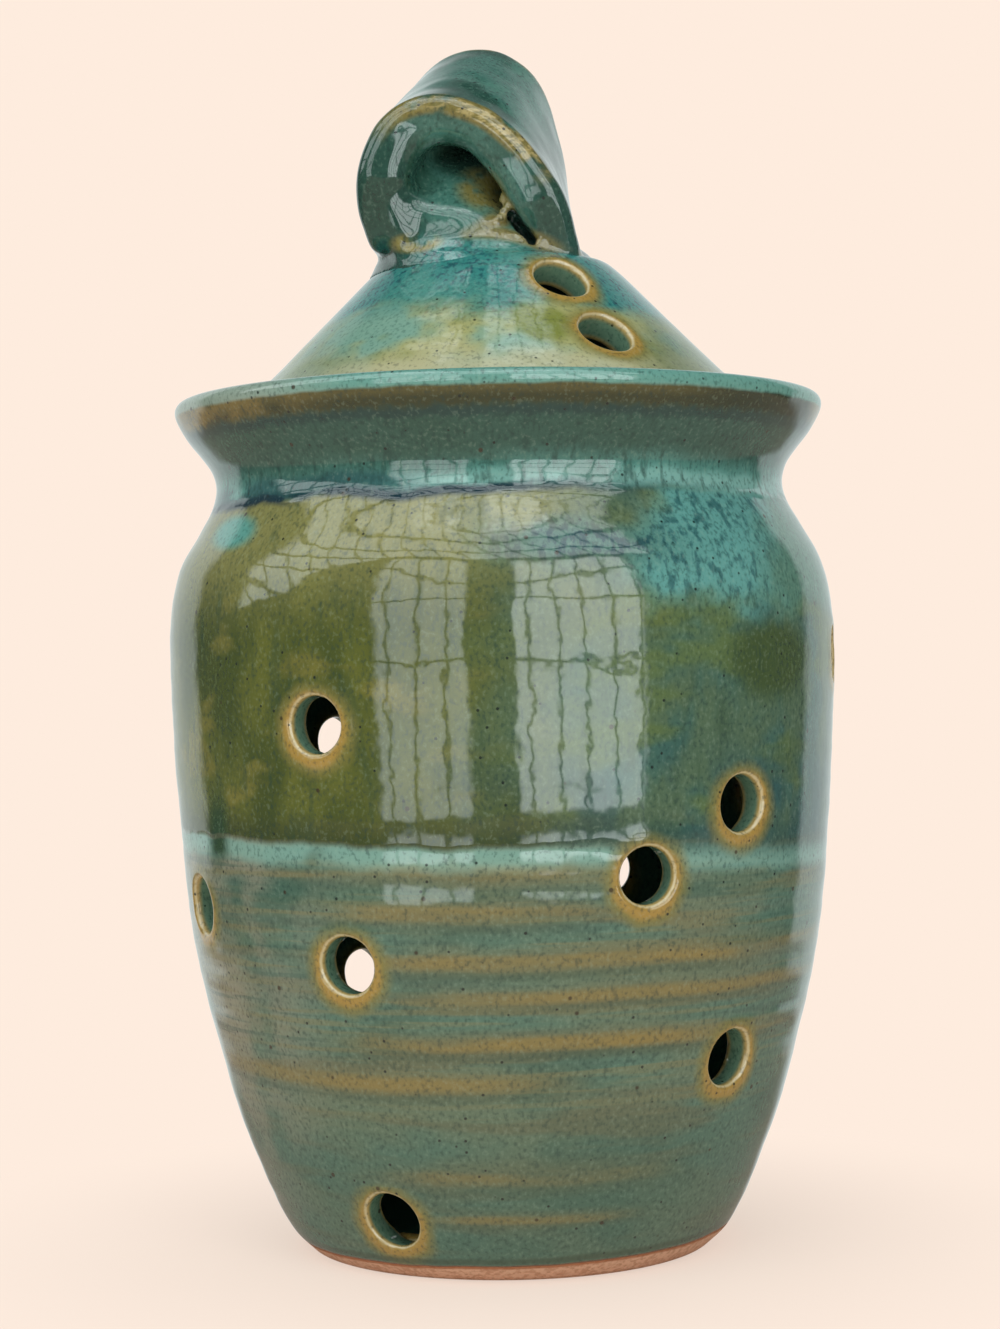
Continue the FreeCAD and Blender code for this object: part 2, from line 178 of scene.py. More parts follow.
# The strap's middle sheet runs between two lines, one at its front edge and one at its
# back edge. Each point is x and height; both start at the left foot.
STRAP_FRONT = [
    (-19.4, 190.8),
    (-20.4, 194.2),
    (-20.5, 198.2),
    (-19.3, 203.0),
    (-16.0, 207.8),
    (-10.0, 210.2),
    (-3.1, 208.5),
    (2.2, 203.6),
    (5.9, 198.2),
    (8.8, 192.8),
    (10.6, 186.5),
]
STRAP_BACK = [
    (-18.0, 191.0),
    (-19.4, 196.0),
    (-19.6, 205.0),
    (-17.0, 211.6),
    (-12.2, 217.2),
    (-7.4, 221.4),
    (-1.9, 222.7),
    (3.0, 220.4),
    (6.0, 215.5),
    (7.8, 208.9),
    (9.0, 203.0),
    (9.8, 197.0),
    (11.4, 186.5),
]

# The stem from the seat up: height, half width, half depth, lean to the left and how
# far it is set back.
STEM_SPAN = 32.0
STEM = [
    (0.0, 20.7, 20.6, 1.6, 0.0),
    (3.0, 18.2, 18.8, 3.3, -0.2),
    (10.0, 12.4, 15.8, 8.0, -0.4),
    (19.0, 10.6, 10.6, 7.6, 2.6),
    (29.0, 7.0, 5.9, 6.0, 6.0),
]

# Where the clay tore as the strap's right foot was pressed on: the ragged lip that it
# left and the gap behind it.
TORN_LIP = [
    (1.6, -14.2, 195.2),
    (2.4, -15.2, 193.2),
    (1.2, -16.4, 191.2),
    (-2.2, -16.6, 188.9),
    (-4.8, -17.2, 187.2),
    (-0.8, -17.6, 187.7),
    (3.6, -17.6, 187.4),
    (7.6, -17.0, 186.4),
    (11.4, -15.2, 185.5),
    (15.0, -12.0, 184.8),
]
GAP = [(3.2, 191.8), (4.6, 189.6), (6.7, 186.9)]
GAP_DEPTH = (-21.0, -11.0)

# How far the handle's clay keeps from the middle line of the vent next to it, how far
# its skin runs down the cone, and the corners of the box that it is formed in.
VENT_CLEARANCE = 6.4
SKIRT = 2.6
CLAY_BOX = (-30.5, -26.5, 178.5), (28.5, 26.5, 229.0)

# ---- nodes ----

MATH = "ShaderNodeMath"
VECTOR = "ShaderNodeVectorMath"
SPLIT = "ShaderNodeSeparateXYZ"
JOIN = "ShaderNodeCombineXYZ"
RANGE = "ShaderNodeMapRange"
MIX = "ShaderNodeMix"
NOISE = "ShaderNodeTexNoise"
SMOOTH = {"interpolation_type": "SMOOTHSTEP"}


def linear(code):
    """A colour written as sRGB hex, as the linear values that light adds up in."""
    channels = [int(code[i : i + 2], 16) / 255 for i in (1, 3, 5)]
    return (*[c / 12.92 if c <= 0.04045 else ((c + 0.055) / 1.055) ** 2.4 for c in channels], 1.0)


def add_node(tree, kind, inputs=(), out=0, stops=(), **settings):
    """Add a node with its settings, colour stops and inputs, and return one output.

    Inputs are a list in the sockets' order, where None leaves one as it is, or a
    dictionary by socket. Colours may be written as hex. With out=None the node itself
    comes back.
    """
    node = tree.nodes.new(kind)
    for name, value in settings.items():
        setattr(node, name, value)
    for index, (position, value) in enumerate(stops):
        elements = node.color_ramp.elements
        stop = elements[index] if index < len(elements) else elements.new(position)
        stop.position = position
        stop.color = value
    for key, value in inputs.items() if isinstance(inputs, dict) else enumerate(inputs):
        if isinstance(value, bpy.types.NodeSocket):
            tree.links.new(value, node.inputs[key])
        elif isinstance(value, str) and value.startswith("#"):
            node.inputs[key].default_value = linear(value)
        elif value is not None:
            node.inputs[key].default_value = value
    return node if out is None else node.outputs[out]


# ---- turned walls ----

PYRAMID = (((0, 1), (1, 2), (2, 3)), ((0, 2), (1, 3)), ((1, 2),))


def bend_between(near, shares):
    """Places on a smooth curve between the middle two of four points."""
    gaps = np.sqrt(np.linalg.norm(np.diff(near, axis=0), axis=1))
    knots = np.concatenate([[0.0], np.cumsum(gaps)])
    along = (knots[1] + (knots[2] - knots[1]) * shares)[:, None]
    level = list(near)
    for spans in PYRAMID:
        moves = [(along - knots[a]) / (knots[b] - knots[a]) for a, b in spans]
        level = [level[i] * (1 - move) + level[i + 1] * move for i, move in enumerate(moves)]
    return level[0]


def smooth_line(points, spacings):
    """Rows of a smooth line through points, and each point's place among the rows."""
    line = np.array(points, float)
    line = np.vstack([2 * line[0] - line[1], line, 2 * line[-1] - line[-2]])
    rows, marks, total = [], [], 0
    for i, spacing in enumerate(spacings[: len(points) - 1]):
        near = line[i : i + 4]
        count = max(1, round(np.linalg.norm(near[2] - near[1]) / spacing))
        rows.append(bend_between(near, np.arange(count) / count))
        marks.append(total)
        total += count
    return np.vstack([*rows, line[-2:-1]]), [*marks, total]


def even_line(points, count):
    """Places at even steps along a smooth line through points."""
    rows, _ = smooth_line(points, [0.2] * len(points))
    length = np.concatenate([[0.0], np.cumsum(np.linalg.norm(np.diff(rows, axis=0), axis=1))])
    steps = np.linspace(0, length[-1], count)
    return np.stack([np.interp(steps, length, column) for column in rows.T], axis=1)


class Wall:
    """A turned wall laid out flat: each vertex is azimuth, radius and height."""

    def __init__(self, parts, columns, inner):
        points = [point for part in parts.values() for point in part]
        self.rows, marks = smooth_line([p[:2] for p in points], [p[2] for p in points])
        starts = np.cumsum([0] + [len(part) for part in parts.values()])
        ends = [marks[min(start, len(marks) - 1)] for start in starts]
        self.spans = {name: (ends[i], ends[i + 1]) for i, name in enumerate(parts)}
        self.columns = columns
        self.turn = 2 * math.pi / columns
        self.faces = []
        self.cut = set()
        self.rims = []
        row_inside = np.zeros(len(self.rows))
        for name in inner:
            low, high = self.spans[name]
            row_inside[low : high + 1] = 1.0
        grid = [(0.0, *self.rows[0]), (0.0, *self.rows[-1])]
        self.inside = [row_inside[0], row_inside[-1]]
        for row in range(1, len(self.rows) - 1):
            grid += [(column * self.turn, *self.rows[row]) for column in range(columns)]
            self.inside += [row_inside[row]] * columns
        self.places = [np.array(grid)]
        self.count = len(grid)

    def index(self, row, column):
        """Place of a grid vertex in the list; the first and last rows are single points."""
        if row == 0:
            return 0
        if row == len(self.rows) - 1:
            return 1
        return 2 + (row - 1) * self.columns + column % self.columns

    def face_line(self, span):
        """Rising heights and their radii on one face of the wall."""
        low, high = self.spans[span]
        rows = self.rows[low : high + 1]
        order = np.argsort(rows[:, 1])
        return rows[order, 1], rows[order, 0]

    def add_ring(self, places, rim, inside):
        """Add one ring of a vent's vertices and return their places in the list."""
        start = self.count
        self.places.append(places)
        self.rims.append((start, np.broadcast_to(rim, len(places))))
        self.inside += [inside] * len(places)
        self.count += len(places)
        return list(range(start, self.count))

    def take_block(self, span, azimuth, height, wide, tall):
        """Take a square of faces out of the grid and return the loop of vertices round it."""
        low, high = self.spans[span]
        row = low + int(np.argmin(np.abs(self.rows[low : high + 1, 1] - height)))
        first, last = row - tall // 2, row - tall // 2 + tall
        left = round(azimuth / self.turn) - wide // 2
        cells = {(i, j % self.columns) for i in range(first, last) for j in range(left, left + wide)}
        if cells & self.cut:
            raise RuntimeError("two vents take the same piece of wall")
        self.cut |= cells
        if self.rows[first][1] > self.rows[last][1]:
            first, last = last, first
        step = 1 if last > first else -1
        loop = [(first, left + j) for j in range(wide)]
        loop += [(first + step * i, left + wide) for i in range(tall)]
        loop += [(last, left + wide - j) for j in range(wide)]
        loop += [(last - step * i, left) for i in range(tall)]
        return [self.index(*cell) for cell in loop]

    def cut_vent(self, faces, azimuth, height, tilt, radius, soft):
        """Cut a round hole square through the wall, with edges that the glaze has rounded."""
        lines = [self.face_line(face) for face in faces]
        reach = np.interp(height, *lines[0])
        cosine, sine = math.cos(tilt), math.sin(tilt)
        inner_height = height
        for _ in range(8):
            inner_height = height + (np.interp(inner_height, *lines[1]) - reach) * sine / cosine
        room = radius + soft + 1.2
        column_width = np.interp(inner_height, *lines[1]) * self.turn
        wide, tall = 2 * math.ceil(room / column_width), 2 * math.ceil(room / ROW_HEIGHT)
        loops = [
            self.take_block(faces[0], azimuth, height, wide, tall),
            self.take_block(faces[1], azimuth, inner_height, wide, tall),
        ]

        def to_local(places):
            """Across, up along the wall, and out through it."""
            out = places[:, 1] * np.cos(places[:, 0] - azimuth) - reach
            rise = places[:, 2] - height
            across = places[:, 1] * np.sin(places[:, 0] - azimuth)
            return np.stack([across, rise * cosine - out * sine, rise * sine + out * cosine], axis=1)

        def to_places(local):
            out = reach + local[:, 2] * cosine - local[:, 1] * sine
            rise = local[:, 2] * sine + local[:, 1] * cosine
            turned = azimuth + np.arctan2(local[:, 0], out)
            return np.stack([turned, np.hypot(out, local[:, 0]), height + rise], axis=1)

        def on_face(flat, line):
            """Local places on one face of the wall, from their first two values."""
            level = height + flat[:, 1] * cosine
            for _ in range(12):
                out = np.sqrt(np.maximum(np.interp(level, *line) ** 2 - flat[:, 0] ** 2, 1.0))
                aside = (level - height) * cosine - (out - reach) * sine
                level = level + (flat[:, 1] - aside) * 0.7
            return np.column_stack([flat, (level - height) * sine + (out - reach) * cosine])

        count = len(loops[0])
        corner = math.atan2(-tall * ROW_HEIGHT, -wide * column_width)
        around = corner + np.arange(count) * 2 * math.pi / count
        circle = np.stack([np.cos(around), np.sin(around)], axis=1)
        chains = []
        for side, (loop, line) in enumerate(zip(loops, lines)):
            edge = to_local(self.places[0][loop])[:, :2]
            chain = [loop]
            for share in (0.45, 1.0):
                flat = edge * (1 - share) + circle * (radius + soft + 0.35) * share
                rim = np.linalg.norm(flat, axis=1) - radius
                chain.append(self.add_ring(to_places(on_face(flat, line)), rim, float(side)))
            for turn in np.linspace(0, math.pi / 2, 5):
                ring = on_face(circle * (radius + soft * (1 - math.sin(turn))), line)
                sunk = soft * (1 - math.cos(turn))
                ring[:, 2] += sunk if side else -sunk
                rim = soft * (1 - math.sin(turn)) - sunk
                chain.append(self.add_ring(to_places(ring), rim, float(side)))
            chains.append(chain)
        places = self.all_places()
        mouth, throat = (to_local(places[chain[-1]]) for chain in chains)
        tunnel = []
        for share in (0.33, 0.67):
            depth = soft + (mouth[:, 2] - throat[:, 2]) * min(share, 1 - share)
            ring = to_places(mouth * (1 - share) + throat * share)
            tunnel.append(self.add_ring(ring, -depth, float(share > 0.5)))
        strip = chains[0] + tunnel + chains[1][::-1]
        for near, far in zip(strip, strip[1:]):
            for i in range(count):
                j = (i + 1) % count
                self.faces.append((near[i], near[j], far[j], far[i]))

    def all_places(self):
        return np.vstack(self.places)

    def to_mesh(self, name, holes):
        """Mesh of the flat wall, with what the glaze needs to know at each vertex.

        rim is the distance in mm from the nearest vent's edge, below is 1 straight
        under a vent and -1 over it, and inside is 1 on the inner face.
        """
        for i in range(len(self.rows) - 1):
            for j in range(self.columns):
                if (i, j) not in self.cut:
                    corners = [self.index(i, j), self.index(i, j + 1)]
                    corners += [self.index(i + 1, j + 1), self.index(i + 1, j)]
                    self.faces.append(tuple(dict.fromkeys(corners)))
        places = self.all_places()
        azimuth, radius, height = places.T
        spots = np.stack([radius * np.sin(azimuth), -radius * np.cos(azimuth), height], axis=1)
        rim = np.full(len(places), 40.0)
        below = np.zeros(len(places))
        for turned, level, reach, width in holes:
            centre = np.array([reach * math.sin(turned), -reach * math.cos(turned), level])
            apart = np.linalg.norm(spots - centre, axis=1)
            nearer = apart - width < rim
            rim[nearer] = apart[nearer] - width
            below[nearer] = (level - height[nearer]) / np.maximum(apart[nearer], 0.1)
        for start, values in self.rims:
            rim[start : start + len(values)] = values
        used = np.zeros(len(places), bool)
        for face in self.faces:
            used[list(face)] = True
        number = (np.cumsum(used) - 1).tolist()
        faces = [tuple(number[i] for i in face) for face in self.faces]
        mesh = bpy.data.meshes.new(name)
        mesh.from_pydata(places[used].tolist(), [], faces)
        for attribute, values in (("rim", rim), ("below", below), ("inside", np.array(self.inside))):
            data = mesh.attributes.new(attribute, "FLOAT", "POINT").data
            data.foreach_set("value", values[used].astype(np.float32))
        return mesh


def new_tree(name, sizes, guides=()):
    """A geometry tree with named inputs for its sizes, its guide objects and the finish."""
    tree = bpy.data.node_groups.new(name, "GeometryNodeTree")
    sockets = tree.interface
    sockets.new_socket("Geometry", in_out="INPUT", socket_type="NodeSocketGeometry")
    for size, value in sizes.items():
        sockets.new_socket(size, in_out="INPUT", socket_type="NodeSocketFloat").default_value = value
    for guide in guides:
        sockets.new_socket(guide, in_out="INPUT", socket_type="NodeSocketObject")
    sockets.new_socket("Finish", in_out="INPUT", socket_type="NodeSocketMaterial")
    sockets.new_socket("Geometry", in_out="OUTPUT", socket_type="NodeSocketGeometry")
    return tree, add_node(tree, "NodeGroupInput", out=None).outputs


def end_tree(tree, geometry, finish):
    """Shade the surface smooth, give it its finish and send it out."""
    smooth = add_node(tree, "GeometryNodeSetShadeSmooth", [geometry])
    real = add_node(tree, "GeometryNodeRealizeInstances", [smooth])
    coated = add_node(tree, "GeometryNodeSetMaterial", {"Geometry": real, "Material": finish})
    add_node(tree, "NodeGroupOutput", [coated], None)


def throwing_tree():
    """Geometry nodes that turn the flat wall round its axis and leave the thrower's marks."""
    sizes = {"Ring depth": 0.2, "Ring spacing": 6.5, "Wobble": 0.3, "Bead": 0.2}
    tree, given = new_tree("Thrown wall", {**sizes, "Calm above": JAR_CALM_ABOVE})

    def node(kind, inputs=(), out=0, **settings):
        return add_node(tree, kind, inputs, out, **settings)

    azimuth, radius, height = node(SPLIT, [node("GeometryNodeInputPosition")], None).outputs
    sine = node(MATH, [azimuth], operation="SINE")
    cosine = node(MATH, [azimuth], operation="COSINE")
    turned = node(JOIN, [sine, cosine, node(MATH, [height, given["Ring spacing"]], operation="DIVIDE")])
    wheel = node(VECTOR, [turned, (0.4, 0.4, 1.0)], operation="MULTIPLY")
    rings = node(NOISE, {"Vector": wheel, "Scale": 1.6, "Detail": 1.0, "Roughness": 0.4})
    slow = node(VECTOR, [node(JOIN, [sine, cosine, height]), (1.0, 1.0, 0.02)], operation="MULTIPLY")
    sway = node(NOISE, {"Vector": slow, "Scale": 0.8, "Detail": 0.0})
    ring_lift = node(MATH, [node(MATH, [rings, -0.5]), given["Ring depth"]], operation="MULTIPLY")
    bend = node(MATH, [node(MATH, [sway, -0.5]), given["Wobble"]], operation="MULTIPLY")
    calm_from = node(MATH, [given["Calm above"], -8.0])
    calm = node(RANGE, [height, calm_from, given["Calm above"], 1.0, 0.0])
    lift = node(MATH, [ring_lift, 2.0, bend], operation="MULTIPLY_ADD")
    lift = node(MATH, [lift, calm], operation="MULTIPLY")
    rim = node("GeometryNodeInputNamedAttribute", {"Name": "rim"}, data_type="FLOAT")
    inside = node("GeometryNodeInputNamedAttribute", {"Name": "inside"}, data_type="FLOAT")
    swell = node(RANGE, [rim, 3.4, 1.3, 0.0, given["Bead"]], **SMOOTH)
    swell = node(MATH, [swell, node(RANGE, [rim, 0.0, 0.9, 0.0, 1.0])], operation="MULTIPLY")
    outward = node(MATH, [inside, -2.0, 1.0], operation="MULTIPLY_ADD")
    moved = node(MATH, [radius, node(MATH, [swell, outward, lift], operation="MULTIPLY_ADD")])
    reach = node(MATH, [moved, node(RANGE, [radius, 0.0, 1.0, 0.0, 1.0])], operation="MULTIPLY")
    ahead = node(MATH, [node(MATH, [reach, cosine], operation="MULTIPLY"), -1.0], operation="MULTIPLY")
    place = node(JOIN, [node(MATH, [reach, sine], operation="MULTIPLY"), ahead, height])
    place = node(VECTOR, {"Vector": place, "Scale": MM}, operation="SCALE")
    shaped = node("GeometryNodeSetPosition", {"Geometry": given["Geometry"], "Position": place})
    end_tree(tree, shaped, given["Finish"])
    return tree


def run_tree(name, mesh, tree, values):
    """Put a mesh through a geometry tree and keep the result as a plain mesh object."""
    source = bpy.data.objects.new(name + "_source", mesh)
    bpy.context.scene.collection.objects.link(source)
    modifier = source.modifiers.new("tree", "NODES")
    modifier.node_group = tree
    for item in tree.interface.items_tree:
        if item.in_out == "INPUT" and item.name in values:
            modifier[item.identifier] = values[item.name]
    bpy.context.view_layer.update()
    evaluated = source.evaluated_get(bpy.context.evaluated_depsgraph_get())
    result = bpy.data.meshes.new_from_object(evaluated)
    bpy.data.objects.remove(source)
    if len(result.polygons) < 1000:
        raise RuntimeError(f"{name} came out without a surface")
    piece = bpy.data.objects.new(name, result)
    bpy.context.scene.collection.objects.link(piece)
    return piece


def place_piece(piece, body, node):
    """Attach the piece to the body that it rides with, and hide the node that it replaces."""
    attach(piece, body)
    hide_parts(node)


# ---- glaze ----


class Glaze:
    """Runny reactive glaze on stoneware, poured on and fired glossy.

    To the eye it is clear glass over cloudy colour. It pools dark in hollows, breaks to
    ochre where it runs thin over edges and the thrower's rings, and iron from the clay
    comes through as dark specks. The darker legs, hollow and gap of the handle are painted
    shade. Sizes are in mm. A cover is a number, a socket, or a value with where it is
    nothing, where it is whole and how strong it is.
    """

    def __init__(self, name):
        self.material = bpy.data.materials.new(name)
        self.material.use_nodes = True
        self.tree = self.material.node_tree
        self.tree.nodes.clear()
        spot = self.node("ShaderNodeTexCoord", out="Object")
        self.place = self.node(VECTOR, {"Vector": spot, "Scale": 1 / MM}, operation="SCALE")
        self.x, self.y, self.z = self.node(SPLIT, [self.place], None).outputs
        self.colour = None
        self.relief = 0.0
        self.bare_and_shade = None

    def node(self, kind, inputs=(), out=0, **settings):
        return add_node(self.tree, kind, inputs, out, **settings)

    def cloud(self, size, stretch=(1.0, 1.0, 1.0), detail=2.0, shift=0.0):
        """Uneven patches, 0 to 1, about size across and stretched along the axes."""
        scale = [1 / (size * factor) for factor in stretch]
        inputs = {"Vector": self.place, "Location": (shift,) * 3, "Scale": scale}
        spot = self.node("ShaderNodeMapping", inputs)
        return self.node(NOISE, {"Vector": spot, "Scale": 1.0, "Detail": detail})

    def wander(self, value, size, reach, shift, stretch=(1.0, 1.0, 1.0)):
        """A value that strays by up to about half of reach from place to place."""
        stray = self.node(MATH, [self.cloud(size, stretch, 2.0, shift), -0.5])
        return self.node(MATH, [stray, reach * 2, value], operation="MULTIPLY_ADD")

    def band(self, value, middle, half, strength=1.0):
        """Cover that is strongest where value is at the middle and gone at half from it."""
        apart = self.node(MATH, [value, middle], operation="SUBTRACT")
        apart = self.node(MATH, [apart], operation="ABSOLUTE")
        return apart, half, half * 0.15, strength

    def spot(self, centre, half):
        """Cover of a soft round patch with its centre and half sizes."""
        apart = self.node(VECTOR, [self.place, centre], operation="SUBTRACT")
        ratio = self.node(VECTOR, [apart, half], operation="DIVIDE")
        return self.node(VECTOR, [ratio], "Value", operation="LENGTH"), 1.25, 0.6

    def where(self, *covers):
        """How far all the covers hold together."""
        whole = None
        for cover in covers:
            if isinstance(cover, tuple):
                value, start, end, strength = (*cover, 1.0)[:4]
                cover = self.node(RANGE, [value, start, end, 0.0, strength], **SMOOTH)
            whole = cover if whole is None else self.node(MATH, [whole, cover], operation="MULTIPLY")
        return whole

    def mottled(self, colour, *patches):
        """A colour with patches over it; each patch is its colour and its covers."""
        for above, *covers in patches:
            inputs = {0: self.where(*covers), 6: colour, 7: above}
            colour = self.node(MIX, inputs, 2, data_type="RGBA")
        return colour

    def coat(self, colour, *covers):
        """Lay a colour over what is there."""
        self.colour = self.mottled(self.colour, (colour, *covers)) if covers else colour

    def raise_by(self, *heights):
        """Add to the relief."""
        self.relief = self.node(MATH, [self.where(*heights), self.relief])

    def attribute(self, name):
        return self.node("ShaderNodeAttribute", out="Fac", attribute_name=name)

    def speckle(self, dark, pale, strength=1.0):
        """Fine grain of melt and iron; real grains are 0.3 mm, drawn twice that to show."""
        grain = self.cloud(0.7, (1.0, 1.0, 1.3), 2.0, 4.0)
        self.coat(dark, (grain, 0.50, 0.72, 0.6 * strength))
        self.coat(pale, (grain, 0.46, 0.28, 0.15 * strength))

    def specks(self, colour, spacing, size, shift):
        """Single specks of iron of a size; real ones are 0.3 mm, drawn larger to show."""
        spot = self.node("ShaderNodeMapping", {"Vector": self.place, "Location": (shift,) * 3})
        apart = self.node("ShaderNodeTexVoronoi", {"Vector": spot, "Scale": 1 / spacing}, "Distance")
        reach = size / spacing / 2
        self.coat(colour, (apart, reach * 1.4, reach * 0.7, 0.85))

    def finish(self):
        """Fired glass is smooth, with a strong clear reflection; unglazed clay and the painted shade in
        the handle's gap are matt.

        The glass has a faint orange peel 3 mm across and slow swells 11 mm across,
        which bend what it mirrors.
        """
        peel = self.node(MATH, [self.cloud(3.0, detail=1.0, shift=9.0), 0.035], operation="MULTIPLY")
        swell = self.cloud(11.0, (1.0, 1.0, 0.8), 1.0, 10.0)
        peel = self.node(MATH, [swell, 0.12, peel], operation="MULTIPLY_ADD")
        height = self.node(MATH, [self.node(MATH, [peel, self.relief]), MM], operation="MULTIPLY")
        roughness, specular = 0.06, 0.95
        if self.bare_and_shade is not None:
            roughness = self.node(RANGE, [self.bare_and_shade, 0.0, 1.0, roughness, 0.85])
            specular = self.node(RANGE, [self.bare_and_shade, 0.0, 1.0, specular, 0.2])
        inputs = {
            "Base Color": self.colour,
            "Roughness": roughness,
            "Specular IOR Level": specular,
            "IOR": 1.6,
            "Normal": self.node("ShaderNodeBump", {"Height": height, "Distance": 1.0, "Strength": 1.0}),
        }
        surface = self.node("ShaderNodeBsdfPrincipled", inputs)
        self.node("ShaderNodeOutputMaterial", {"Surface": surface}, None)
        return self.material


# Ochre rings on the lower belly: height, half width, strength, and the middle and half
# length from left to right, in mm.
OCHRE_RINGS = [
    (74.2, 2.6, 0.85, -10.0, 36.0),
    (67.0, 2.2, 0.6, -12.0, 36.0),
    (58.6, 2.0, 0.85, 16.0, 60.0),
    (52.4, 1.7, 0.65, 22.0, 52.0),
    (44.4, 1.9, 1.0, 8.0, 48.0),
    (37.2, 2.2, 0.75, -22.0, 44.0),
    (20.5, 2.4, 0.5, 2.0, 34.0),
    (12.4, 1.2, 0.6, 4.0, 26.0),
]


def grey_teal_ground(glaze, colours):
    """The first coat, grey teal, all over the jar."""
    glaze.coat(tuple(colours.ground))
    glaze.coat("#6C7C62", (glaze.cloud(24, (1.6, 1.6, 0.7), 3.0), 0.42, 0.62, 0.75))
    glaze.coat("#3F6556", (glaze.cloud(26, (1.0, 1.0, 0.7), 3.0, 3.0), 0.48, 0.68, 0.7))
    glaze.coat("#6B6B4E", (glaze.cloud(18, (2.5, 2.5, 0.25), 3.0, 64.0), 0.50, 0.66, 0.6))
    glaze.coat("#9A9984", (glaze.x, -26.0, -52.0), (glaze.cloud(16, shift=6.0), 0.34, 0.56, 0.75))
    glaze.coat("#4A6E5E", (glaze.z, 36.0, 18.0, 0.5))
    streaks = glaze.cloud(10, (4.0, 4.0, 0.16), 3.0, 65.0)
    glaze.coat("#80805A", (streaks, 0.50, 0.64, 0.5), (glaze.z, 24.0, 40.0))
    glaze.coat("#45665A", (streaks, 0.46, 0.34, 0.5), (glaze.z, 24.0, 40.0))


def ochre_rings(glaze, colours):
    """Where the glaze runs thin over the thrower's rings it breaks to ochre."""
    level = glaze.wander(glaze.z, 40, 1.6, 5.0)
    for index, (height, half, strength, middle, length) in enumerate(OCHRE_RINGS):
        patchy = (glaze.cloud(20, (2.4, 2.4, 0.3), 3.0, index * 3.1), 0.30, 0.52)
        near = glaze.band(glaze.wander(glaze.x, 14, 7.0, index * 2.3), middle, length, strength)
        glaze.coat("#757350", glaze.band(level, height, half * 2.0, 0.8), near)
        glaze.coat("#3F5A48", glaze.band(level, height - half * 1.1, half * 0.8, 0.5), near, patchy)
        glaze.coat(tuple(colours.ochre), glaze.band(level, height, half), near, patchy)
        glaze.raise_by(glaze.band(level, height, half * 1.5), 0.12 * strength)


def poured_band(glaze, colours):
    """A second, runnier glaze from the shoulder down to mid belly, olive turning to teal.

    Its lower edge slopes down a little to the right and gathers in a darker roll.
    """
    edge = glaze.node(MATH, [glaze.x, -0.03, 77.4], operation="MULTIPLY_ADD")
    edge = glaze.wander(edge, 36, 1.6, 11.0)
    edge = glaze.wander(edge, 6, 0.8, 12.0, (1.0, 1.0, 20.0))
    over = glaze.node(MATH, [glaze.z, edge], operation="SUBTRACT")
    soft = glaze.where((glaze.x, 4.0, 44.0, 3.5))
    start = glaze.node(MATH, [soft, -1.0, -0.5], operation="MULTIPLY_ADD")
    end = glaze.node(MATH, [soft, 0.8])
    poured = glaze.where((over, start, end), (glaze.wander(glaze.z, 14, 1.6, 14.0), 139.6, 138.2))
    glaze.coat("#84B5A8", glaze.band(over, -1.6, 3.4, 0.8), (glaze.cloud(15, shift=21.0), 0.22, 0.44))

    cool = glaze.where((glaze.wander(glaze.x, 24, 34.0, 8.0), -14.0, 30.0))
    olive = glaze.mottled(
        tuple(colours.olive),
        ("#475423", (glaze.cloud(15, (1.0, 1.0, 1.8), 3.0, 2.0), 0.42, 0.62)),
        ("#7F7C3A", (glaze.cloud(11, (1.4, 1.4, 0.7), 3.0, 7.0), 0.54, 0.7, 0.7)),
        ("#93935A", (glaze.z, 112.0, 134.0, 0.75)),
        ("#3A4724", (over, 7.0, 0.8, 0.8)),
    )
    deep = (glaze.cloud(10, (1.0, 1.0, 1.6), 3.0, 19.0), 0.38, 0.6, 0.8)
    teal = glaze.mottled(
        "#546F55",
        ("#40695F", (glaze.cloud(12, (1.0, 1.0, 1.4), 4.0, 15.0), 0.44, 0.62)),
        ("#5E7544", (glaze.cloud(17, (1.5, 1.5, 0.6), 3.0, 17.0), 0.52, 0.66, 0.9)),
        ("#30595A", (glaze.z, 100.0, 84.0), deep),
        ("#43582F", glaze.spot((46.0, -38.0, 109.0), (10.0, 16.0, 7.5))),
        ("#22504F", (over, 7.0, 0.8, 0.8)),
    )
    streaks = (glaze.cloud(2.4, (1.0, 1.0, 6.0), 3.0, 23.0), 0.52, 0.72, 0.4)
    poured_colour = glaze.mottled(olive, (teal, cool), ("#2E4A34", streaks))
    glaze.coat(poured_colour, poured)
    drip = (glaze.z, 73.5, 77.0), (glaze.z, 92.0, 80.0), (glaze.y, -20.0, -28.0)
    glaze.coat("#2C4A2C", glaze.band(glaze.x, -51.0, 3.0), *drip)
    glaze.raise_by(poured, 0.22)


